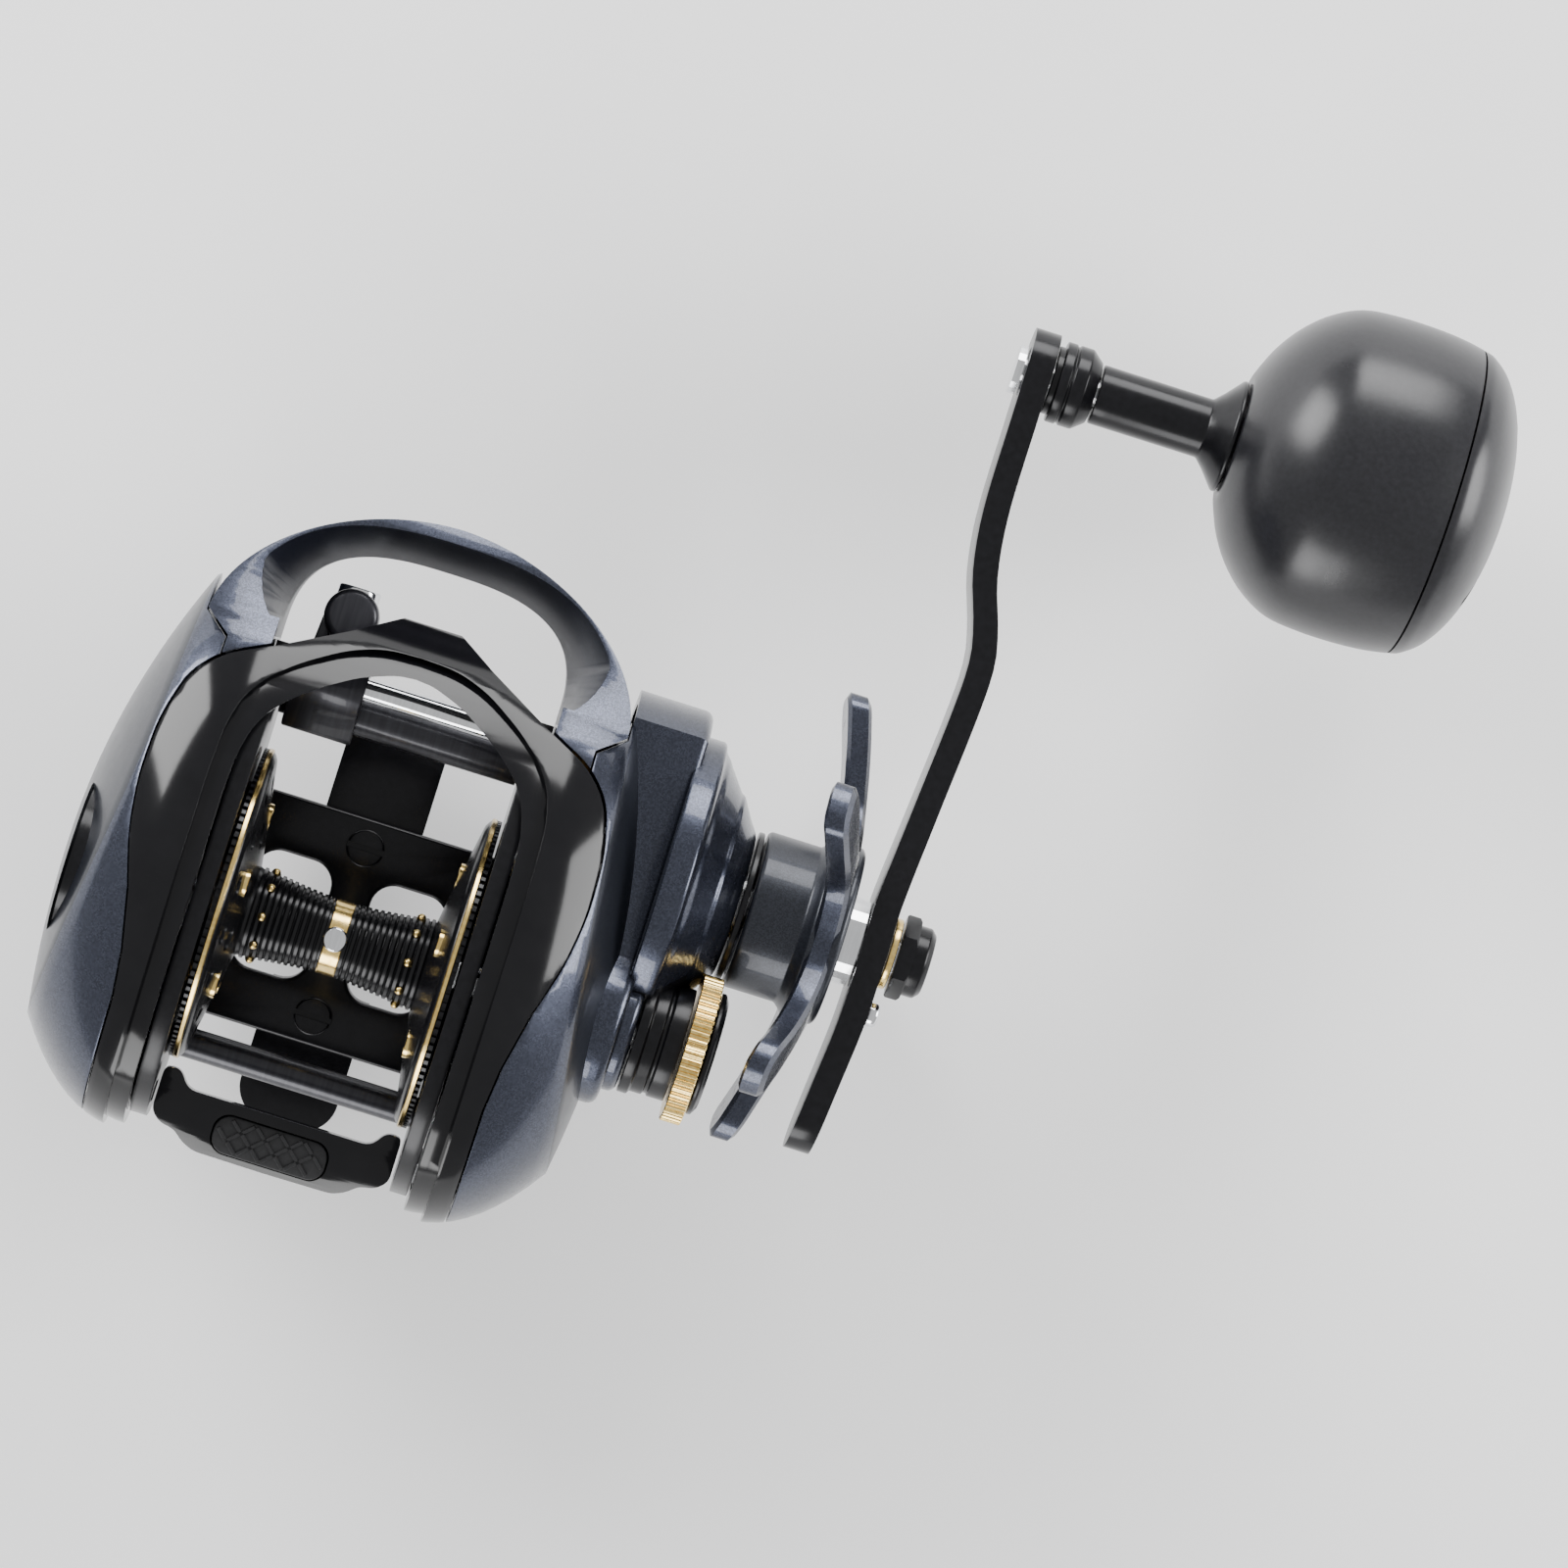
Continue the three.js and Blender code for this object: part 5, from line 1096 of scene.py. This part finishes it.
@dataclass
class Handle:
    """The bent arm with its washer, nut, lock screw and knob post."""

    hub_x: float = 67.4
    thickness: float = 3.5
    tail: float = 29.1
    length: float = 80.3
    hub_width: float = 14.0
    end_width: float = 11.5
    line: tuple[Point2, ...] = (
        (-30.5, 65.55), (-20, 66.5), (-12, 67.2), (-7, 67.4), (0, 67.4), (7, 67.4), (20, 68.4), (34, 69.5),
        (41, 69.6), (46, 68.5), (52.5, 66.4), (61, 65.3), (74, 65.2), (88, 65.2),
    )

    def inner_face(self, reach: float) -> float:
        """Return where the arm's inner face lies at a distance from the shaft."""
        for (y0, x0), (y1, x1) in zip(self._curve, self._curve[1:]):
            if y0 <= reach <= y1:
                return x0 + (x1 - x0) * (reach - y0) / (y1 - y0)
        return self._curve[-1][1]

    def __post_init__(self) -> None:
        """Smooth the arm's centreline once."""
        self._curve = smooth_curve(self.line, 8)

    def build(self) -> None:
        """Build the arm and everything fixed to it."""
        end = self.length + 6.1
        half, hub = self.end_width / 2, self.hub_width / 2
        upper = [
            *arc(end - half, 0, half, -math.pi / 2, math.pi / 2, 24), (60, half), (38, half - 0.1), (22, half + 0.3),
            (8, hub), (-7, hub), (-17, half + 0.3), *arc(-self.tail + half, 0, half, math.pi / 2, 3 * math.pi / 2, 24),
            (-17, -half - 0.3), (-7, -hub), (8, -hub), (22, -half - 0.3), (38, -half + 0.1), (60, -half),
        ]
        outline = softened([*upper, upper[0]], 4.0, 5)[:-1]
        arm = plate(outline, 0, self.thickness)
        for cut in range(-30, 88, 2):
            bmesh.ops.bisect_plane(
                arm, geom=[*arm.verts, *arm.edges, *arm.faces], plane_co=(0, cut + 0.37, 0), plane_no=(0, 1, 0), dist=1e-5
            )
        rim = [e for e in arm.edges if len(e.link_faces) == 2 and e.calc_face_angle(0) > math.radians(60)]
        bmesh.ops.bevel(arm, geom=rim, offset=0.65, segments=3, profile=0.5, affect="EDGES", material=-1, clamp_overlap=True)
        for vert in arm.verts:
            vert.co.x += self.inner_face(vert.co.y)
        bmesh.ops.translate(arm, vec=(0, SHAFT_Y, SHAFT_Z), verts=arm.verts)
        holes = merged(
            spun([(50, 0), (50, 3.2), (90, 3.2), (90, 0)], SHAFT_Y, SHAFT_Z, 40),
            spun([(50, 0), (50, 2.2), (90, 2.2), (90, 0)], SHAFT_Y + self.length, SHAFT_Z, 32),
        )
        place_piece(carved(arm, holes), "arm", Body.CRANK, [BLACK_METAL], ["handle_arm"], sharp=36)
        self._fasteners()
        self._post()

    def _fasteners(self) -> None:
        """Build the gold washer, the nut and the lock screw."""
        face = self.hub_x + self.thickness
        washer = [(face + 0.3, 3.2), (face + 0.3, 4.9), (face + 1.3, 4.9), (face + 1.3, 3.2), (face + 0.3, 3.2)]
        place_piece(spun(washer, SHAFT_Y, SHAFT_Z, 64, 0.25), "gold_washer", Body.CRANK, [GOLD], ["handle_washer"])
        flats = arc(SHAFT_Y, SHAFT_Z, 5.8, 0, math.tau * 5 / 6, 5)
        start = face + 1.6
        hexagon = plate(flats, start, 74.6)
        chamfer = spun([(start - 0.4, 0), (start - 0.4, 5.2), (start + 0.3, 5.9), (74.2, 5.9), (74.9, 5.0), (74.9, 0)], SHAFT_Y, SHAFT_Z, 64)
        hexagon = carved(hexagon, chamfer, operation="INTERSECT")
        crown = spun(
            [(73.4, 0), (73.4, 4.9), (76.2, 4.9), (77.0, 4.1), (77.0, 2.3), (76.5, 1.9), (76.5, 0)],
            SHAFT_Y, SHAFT_Z, 56, 0.2,
        )
        bevelled(hexagon, 0.15, 2, 40)
        place_piece(merged(hexagon, crown), "nut", Body.CRANK, [BLACK_METAL], ["handle_nut"], sharp=28)
        y = SHAFT_Y - 8.6
        head = spun([(71.2, 0), (71.2, 1.7), (72.3, 1.7), (72.7, 1.3), (72.7, 0)], y, SHAFT_Z, 40, 0.2)
        slot = block((72.2, y - 3, SHAFT_Z - 0.28), (74, y + 3, SHAFT_Z + 0.28))
        place_piece(carved(head, slot), "lock_screw", Body.CRANK, [CHROME], ["nut_lock_screw"], sharp=30)

    def _post(self) -> None:
        """Build the collar at the arm's end."""
        y, start = SHAFT_Y + self.length, 69.0
        collar = [
            (start, 2.2), (start, 4.7), (start + 0.9, 4.7), (start + 0.9, 5.6), (71.2, 5.6), (71.35, 5.35),
            (71.6, 5.35), (71.75, 5.6), (73.5, 5.6), (75.2, 4.2), (75.2, 2.2), (start, 2.2),
        ]
        place_piece(spun(collar, y, SHAFT_Z, 72, 0.2), "collar", Body.CRANK, [BLACK_METAL], ["knob_collar"], sharp=26)


@dataclass
class Knob:
    """The round power knob on its stem."""

    y: float = SHAFT_Y + 80.3
    form: tuple[Point2, ...] = (
        (95.0, 6.6), (95.0, 8.2), (95.3, 9.6), (97.0, 13.4), (99.4, 16.8), (102.6, 19.7), (106.6, 21.7),
        (111.5, 22.28), (116.5, 22.3), (120.5, 22.0), (123.4, 21.5),
    )

    def build(self) -> None:
        """Build stem, grip and end cap."""
        stem = [
            (75.5, 2.3), (75.5, 4.1), (90.9, 4.1), (92.2, 5.4), (94.2, 7.75), (94.7, 7.75), (94.7, 6.4), (120, 6.4),
            (120, 4.9), (95.7, 4.9), (95.7, 2.3), (75.5, 2.3),
        ]
        grooves = []
        for at in (77.4, 78.3):
            grooves.append(spun([(at, 3.9), (at, 5), (at + 0.35, 5), (at + 0.35, 3.9), (at, 3.9)], self.y, SHAFT_Z, 64))
        tube = carved(spun(stem, self.y, SHAFT_Z, 64, 0.25), merged(*grooves))
        place_piece(tube, "stem", Body.KNOB, [BLACK_METAL], ["knob_stem"], sharp=26)
        outer = smooth_curve(list(self.form[1:]), 5)
        grip = [self.form[0], *outer, (123.4, 21.0), (123.4, 6.6), self.form[0]]
        place_piece(spun(grip, self.y, SHAFT_Z, 144), "grip", Body.KNOB, [KNOB_GREY], ["knob_grip"], sharp=40)
        rim = smooth_curve(
            [(123.7, 21.4), (125.2, 20.95), (127.6, 19.0), (129.8, 15.6), (131.4, 11.2), (132.4, 6), (132.8, 0)], 6
        )
        cap = spun([(123.7, 0), (123.7, 21.1), *rim], self.y, SHAFT_Z, 144)
        slots = []
        for i in range(3):
            pin = block((129.2, 8.6, -0.9), (135, 14.6, 0.9))
            bevelled(pin, 0.3, 2, 60)
            bmesh.ops.rotate(pin, cent=(0, 0, 0), matrix=Matrix.Rotation(math.tau * i / 3 + 0.5, 3, "X"), verts=pin.verts)
            bmesh.ops.translate(pin, vec=(0, self.y, SHAFT_Z), verts=pin.verts)
            slots.append(pin)
        cap = carved(cap, merged(*slots))
        place_piece(cap, "end_cap", Body.KNOB, [KNOB_GREY], ["knob_cap"], sharp=30)


# ------------------------------------------------------------------ frame inside
@dataclass
class InnerFrame:
    """The frame's floor plate, walls, rear bar, foot and foot screws."""

    wall_in: float = 16.9
    wall_out: float = 19.2
    floor_low: float = 3.0
    floor_high: float = 5.6
    hole: float = 22.1

    def build(self) -> None:
        """Build walls, floor, bar, foot and screws."""
        self._walls()
        self._floor()
        self._bars()
        self._foot()

    def _walls(self) -> None:
        """Build both side walls with the spool's hole and the window for the bar's tab."""
        steps = 120
        line: list[Point2] = []
        for i in range(steps):
            a = i / steps * math.tau
            r = SHELL.outline(a) - 2.85
            line.append((SHELL.crown_y + r * math.cos(a), SHELL.nose_z + r * math.sin(a)))
        walls = []
        for side in (-1, 1):
            x0, x1 = sorted((side * self.wall_in, side * self.wall_out))
            wall = plate(line, x0, x1)
            spool = spun([(x0 - 1, 0), (x0 - 1, self.hole), (x1 + 1, self.hole), (x1 + 1, 0)], 0, AXIS_Z, 96)
            pinion = spun([(x0 - 1, 0), (x0 - 1, 4.3), (x1 + 1, 4.3), (x1 + 1, 0)], 0, AXIS_Z, 40)
            front = block((x0 - 1, 30, -20), (x1 + 1, 80, 80))
            tab = block((x0 - 1, -28.1, 24.5), (x1 + 1, -25.1, 32.5))
            wall = carved(wall, spool if side < 0 else pinion, front, tab)
            rest = block((x0, 28, 8), (x1, 35.6, 32.7))
            walls.append(bevelled(merged(wall, rest), 0.3, 2, 40))
        place_piece(merged(*walls), "frame_walls", Body.FRAME, [BLACK_METAL], ["main_frame"], sharp=32)

    def _windows(self, low: float, high: float) -> list[bmesh.types.BMesh]:
        """Return cutters for the two windows beside the floor's spine."""
        return [slab(rounded_rectangle(side * 8.2, 0, 5.3, 8.3, 3.2), low, high) for side in (-1, 1)]

    def _floor(self) -> None:
        """Build the floor plate with its two round-cornered windows."""
        floor = slab([(-18.7, -16), (18.7, -16), (18.7, 16), (-18.7, 16)], self.floor_low, self.floor_high)
        floor = carved(floor, merged(*self._windows(0, 10)))
        bevelled(floor, 0.5, 3, 50)
        place_piece(floor, "frame_floor", Body.FRAME, [BLACK_METAL], sharp=34)

    def _bars(self) -> None:
        """Build the round rear bar."""
        y = -19.9
        z = AXIS_Z - math.sqrt(24.2**2 - y**2)
        bar = [(-17.2, 0), (-17.2, 2.1), (17.2, 2.1), (17.2, 0)]
        place_piece(spun(bar, y, z, 48), "rear_bar", Body.FRAME, [GUARD_GREY], sharp=34)

    def _foot(self) -> None:
        """Build the tapered foot and its two screws."""
        side = plate([(-28, 0), (33, 0), (33, 1.3), (21, 2.7), (-15, 2.7), (-28, 1.3)], -6.9, 6.9)
        plan = slab(rounded_rectangle(0, 2.5, 6.9, 30.5, 5, 12), -1, 4)
        foot = carved(carved(side, plan, operation="INTERSECT"), merged(*self._windows(-5, 10)))
        bevelled(foot, 0.35, 3, 30)
        place_piece(foot, "foot", Body.FRAME, [BLACK_METAL], ["reel_foot"], sharp=34)
        for y, word in ((-12.0, "rear"), (12.0, "front")):
            head = post(0, y, 5.9, 7.1, 2.6, 40)
            bevelled(head, 0.3, 3, 50)
            slot = block((-4, y - 0.4, 6.5), (4, y + 0.4, 9))
            head = carved(head, slot)
            place_piece(head, f"foot_screw_head_{word}", Body.FRAME, [BLACK_METAL], [f"foot_screw_{word}"], sharp=34)


@dataclass
class LineGuide:
    """Guard tube, guide rod and the carriage that lays the line."""

    worm_y: float = 20 + math.sqrt(9.6**2 - 0.25)
    worm_z: float = SHAFT_Z + 0.5
    rest: float = -10.9
    half: float = 4.8
    eye_y: float = 41.5
    post_radius: float = 3.7

    def build(self) -> None:
        """Build tube, rod and carriage."""
        y, z = self.worm_y, self.worm_z
        tube = [(-16.6, 2.7), (-16.6, 3.2), (16.6, 3.2), (16.6, 2.7), (-16.6, 2.7)]
        slot = block((-15, y - 0.95, z - 6), (15, y + 0.95, z))
        place_piece(carved(spun(tube, y, z, 72, 0.1), slot), "guard_tube", Body.FRAME, [GUARD_GREY], ["worm_guard"])
        rod = [(-16.6, 0), (-16.6, 1.5), (-16.5, 1.6), (16.5, 1.6), (16.6, 1.5), (16.6, 0)]
        place_piece(spun(rod, y + 3.2, z + 6.6, 48), "chrome_rod", Body.FRAME, [CHROME], ["guide_rod"])
        self._carriage()

    def _carriage(self) -> None:
        """Build the carriage, its legs, its round post and the eye ring."""
        y, z = self.worm_y, self.worm_z
        side = softened(
            [
                (y - 4.7, z - 4.6), (y + 4.4, z - 4.6), (y + 5.8, z - 2), (y + 6.3, z + 4.6), (y + 6.3, z + 8.8),
                (y + 1.6, z + 9.6), (y - 0.4, z + 8.0), (y - 4.7, z + 2.6), (y - 4.7, z - 4.6),
            ],
            1.1, 4,
        )[:-1]
        body = plate(side, self.rest - self.half, self.rest + self.half)
        legs = slab(
            [
                (self.rest - 4.2, y + 3.8), (self.rest + 4.2, y + 3.8),
                (self.rest + self.post_radius - 0.1, self.eye_y), (self.rest - self.post_radius + 0.1, self.eye_y),
            ],
            z - 1.6, z + 3.6,
        )
        x0, x1 = self.rest - 8, self.rest + 8
        bores = [
            spun([(x0, 0), (x0, 3.5), (x1, 3.5), (x1, 0)], y, z, 56),
            spun([(x0, 0), (x0, 1.9), (x1, 1.9), (x1, 0)], y + 3.2, z + 6.6, 40),
            block((self.rest - 2.3, y - 9, z - 0.6), (self.rest + 2.3, self.eye_y - 1, z + 4.7)),
        ]
        body = carved(bevelled(body, 0.3, 2, 50), *bores[:2])
        legs = carved(legs, bores[2])
        round_post = post(self.rest, self.eye_y, z - 3.6, z + 6.1, self.post_radius, 64)
        bevelled(round_post, 1.1, 5, 50)
        eye_bore = post(self.rest, 0, -10, 10, 3.1, 56)
        lie = Matrix.Translation((0, self.eye_y, z + 1)) @ Matrix.Rotation(math.pi / 2, 4, "X")
        bmesh.ops.transform(eye_bore, matrix=lie, verts=eye_bore.verts)
        whole = merged(bevelled(legs, 0.35, 2, 50), carved(round_post, eye_bore))
        place_piece(
            merged(body, whole), "carriage", Body.CARRIAGE, [GUARD_GREY], ["line_guide"], sharp=32
        )
        ring = fresh()
        profile = softened([(2.1, -4.0), (2.9, -4.0), (2.9, 4.0), (2.1, 4.0), (2.1, -4.0)], 0.35, 4)
        verts = [ring.verts.new((r, 0, h)) for r, h in profile[:-1]]
        edges = [ring.edges.new((a, b)) for a, b in zip(verts, [*verts[1:], verts[0]])]
        bmesh.ops.spin(
            ring, geom=verts + edges, cent=(0, 0, 0), axis=(0, 0, 1), angle=math.tau, steps=64, use_merge=True
        )
        place = Matrix.Translation((self.rest, self.eye_y, z + 1)) @ Matrix.Rotation(math.pi / 2, 4, "X")
        bmesh.ops.transform(ring, matrix=place, verts=ring.verts)
        place_piece(ring, "eye_ring", Body.CARRIAGE, [CHROME], ["guide_eye"], sharp=34)


# ------------------------------------------------------------------ thumb bar and dial
@dataclass
class ThumbBar:
    """The clutch bar with its rubber pad."""

    half: float = 16.4
    front: float = -24.8
    back: float = -32.6
    side_front: float = -22.6
    top: float = 33.5
    depth: float = 5.0
    pad_y: float = -29.0

    def build(self) -> None:
        """Build the bar and the pad with its herringbone relief."""
        half = [
            (0, self.back), (9.6, self.back + 0.1), (11.4, self.back + 0.9), (12.8, self.back + 2.2),
            (self.half - 1.4, self.back + 2.6), (self.half, self.back + 4.0), (self.half, self.side_front),
            (self.half - 2.2, self.side_front), (self.half - 3.8, self.front), (0, self.front),
        ]
        outline = mirrored_edge(softened(half, 1.2, 4))
        bar = slab(outline, self.top - self.depth, self.top)
        side = plate(
            smooth_curve([(-35, 30.0), (-32.5, 31.2), (-30.4, 32.5), (-28, 33.3), (-25.5, 33.45), (-21, 33.1)], 5)
            + [(-21, 28.5), (-35, 28.5)],
            -20, 20,
        )
        pit = slab(rounded_rectangle(0, self.pad_y, 8.0, 2.8, 2.3, 8), 31.1, 40)
        bar = carved(carved(bar, side, operation="INTERSECT"), pit)
        bevelled(bar, 0.5, 3, 40)
        place_piece(bar, "clutch_bar", Body.THUMB, [HOOD_BLACK], ["thumb_bar"], sharp=36)
        pad = slab(rounded_rectangle(0, self.pad_y, 7.8, 2.6, 2.2, 8), 31.2, 32.75)
        bevelled(pad, 0.25, 2, 50)
        ribs = []
        for column in range(-4, 5):
            for row in (-1, 0, 1):
                lean = 0.75 if (column + row) % 2 else -0.75
                rib = block((-0.95, -0.27, 32.6), (0.95, 0.27, 33.0))
                bevelled(rib, 0.09, 1, 50)
                bmesh.ops.rotate(rib, cent=(0, 0, 0), matrix=Matrix.Rotation(lean, 3, "Z"), verts=rib.verts)
                shift = (column * 1.66, self.pad_y + row * 1.5, 0)
                bmesh.ops.translate(rib, vec=shift, verts=rib.verts)
                if abs(column) < 4 or row == 0:
                    ribs.append(rib)
                else:
                    rib.free()
        place_piece(merged(pad, *ribs), "grip_pad", Body.THUMB, [RUBBER], ["thumb_pad"], sharp=34)


@dataclass
class BrakeDial:
    """The dial on the palm side, with its ribbed grip bar."""

    height: float = 33.5
    radius: float = 9.7
    back: float = -33.3
    face: float = -35.1

    def build(self) -> None:
        """Build the disc, its scalloped rim and the grip bar."""
        disc = spun(
            [(self.back, 0), (self.back, self.radius), (self.face + 0.3, self.radius), (self.face, self.radius - 0.4),
             (self.face, self.radius - 1.3), (self.face + 0.4, self.radius - 1.8), (self.face + 0.4, 0)],
            0, self.height, 96, 0.15,
        )
        scallops = [
            spun(
                [(-40, 0), (-40, 0.8), (self.back - 0.3, 0.8), (self.back - 0.3, 0)],
                (self.radius + 0.25) * math.cos(i / 20 * math.tau),
                self.height + (self.radius + 0.25) * math.sin(i / 20 * math.tau), 16,
            )
            for i in range(20)
        ]
        disc = carved(disc, merged(*scallops))
        place_piece(disc, "dial_disc", Body.DIAL, [METALLIC_DARK], ["brake_dial"], sharp=28)
        outline = rounded_rectangle(0, self.height, 8.3, 1.75, 1.5, 8)
        bar = bevelled(plate(outline, self.face - 1.35, self.back), 0.3, 3, 50)
        notches = [
            block((self.face - 2, y - 0.22, self.height - 3), (self.face - 1.0, y + 0.22, self.height + 3))
            for y in (-6.4, -5.1, -3.8, -2.5, 2.5, 3.8, 5.1, 6.4)
        ]
        place_piece(carved(bar, merged(*notches)), "dial_grip", Body.DIAL, [METALLIC], sharp=28)


# ------------------------------------------------------------------ studio
@dataclass
class Studio:
    """Floor, soft lights and the camera."""

    eye: tuple[float, float, float] = (7.4, 36.0, 928.5)
    aim: tuple[float, float, float] = (50.8, 37.5, 28.5)
    field: float = math.radians(13.25)
    roll: float = math.radians(17.5)
    floor_z: float = -13.0

    def build(self) -> None:
        """Add the floor, lights and camera."""
        floor = fresh()
        bmesh.ops.create_grid(floor, x_segments=8, y_segments=8, size=1500)
        bmesh.ops.translate(floor, vec=(0, 0, self.floor_z), verts=floor.verts)
        bmesh.ops.scale(floor, vec=(MM, MM, MM), verts=floor.verts)
        mesh = bpy.data.meshes.new("floor")
        floor.to_mesh(mesh)
        floor.free()
        ground = bpy.data.objects.new("floor", mesh)
        mesh.materials.append(FLOOR.material())
        bpy.context.scene.collection.objects.link(ground)
        self._world()
        self._light("key", (-620, 420, 330), 420, 9.0)
        self._light("fill", (760, 240, 300), 460, 8.0)
        self._light("front", (80, 820, 300), 420, 6.0)
        self._light("rear", (-60, -760, 260), 420, 5.0)
        self._camera()

    def _world(self) -> None:
        """Give the room a plain bright surround."""
        world = bpy.data.worlds.new("room")
        world.use_nodes = True
        world.node_tree.nodes["Background"].inputs["Color"].default_value = (1, 1, 1, 1)
        world.node_tree.nodes["Background"].inputs["Strength"].default_value = 0.66
        bpy.context.scene.world = world

    def _light(self, name: str, spot: Sequence[float], size: float, power: float) -> None:
        """Add a square area light that faces the reel."""
        lamp = bpy.data.lights.new(name, "AREA")
        lamp.size = size * MM
        lamp.energy = power
        made = bpy.data.objects.new(name, lamp)
        made.location = Vector(spot) * MM
        away = Vector((45, 25, 25)) * MM - made.location
        made.rotation_euler = away.to_track_quat("-Z", "Y").to_euler()
        bpy.context.scene.collection.objects.link(made)

    def _camera(self) -> None:
        """Add the camera above the reel, rolled so that the spool's axis slopes."""
        lens = bpy.data.cameras.new("camera")
        lens.sensor_fit = "HORIZONTAL"
        lens.angle = self.field
        lens.clip_start = 0.01
        made = bpy.data.objects.new("camera", lens)
        eye, aim = Vector(self.eye) * MM, Vector(self.aim) * MM
        ahead = (aim - eye).normalized()
        up = Vector((math.sin(-self.roll), math.cos(self.roll), 0))
        right = ahead.cross(up).normalized()
        top = right.cross(ahead).normalized()
        turn = Matrix((right, top, -ahead)).transposed().to_4x4()
        made.matrix_world = Matrix.Translation(eye) @ turn
        bpy.context.scene.collection.objects.link(made)
        bpy.context.scene.camera = made


SHOWN_NODES: dict[str, Finish] = {
    "brake_housing": BLACK_METAL, "brake_magnets": CHROME, "spool_bearing_palm": CHROME,
    "spool_bearing_gear": CHROME, "drive_bearing": CHROME, "one_way_clutch": CHROME,
    "yoke_post_upper": CHROME, "yoke_post_lower": CHROME, "worm_shaft": CHROME, "worm_gear": BRASS,
    "guide_pawl": BRASS, "spool_shaft": CHROME, "drive_shaft": CHROME, "guide_drive_gear": BRASS,
    "main_gear": BRASS, "drag_washer_1": CARBON, "drag_plate_1": CHROME, "drag_washer_2": CARBON,
    "drag_plate_2": CHROME, "drag_ratchet": CHROME, "clutch_sleeve": CHROME, "pinion": BRASS,
    "clutch_yoke": CHROME, "star_nut": BRASS, "handle_spacer": CHROME, "knob_spindle": CHROME,
    "knob_bearing_inner": CHROME, "knob_bearing_outer": CHROME, "clutch_cam": CHROME,
}


def main() -> None:
    """Build every part of the reel in order."""
    for part in (
        HOOD, COWL, PalmCover(), GearCover(), NoseParts(), CastControl(), Spool(), StarDrag(), Handle(), Knob(),
        InnerFrame(), LineGuide(), ThumbBar(), BrakeDial(), Studio(),
    ):
        log.info("building %s", type(part).__name__)
        part.build()
    for name, finish in SHOWN_NODES.items():
        dress_node(name, finish)


if __name__ == "__main__":
    main()
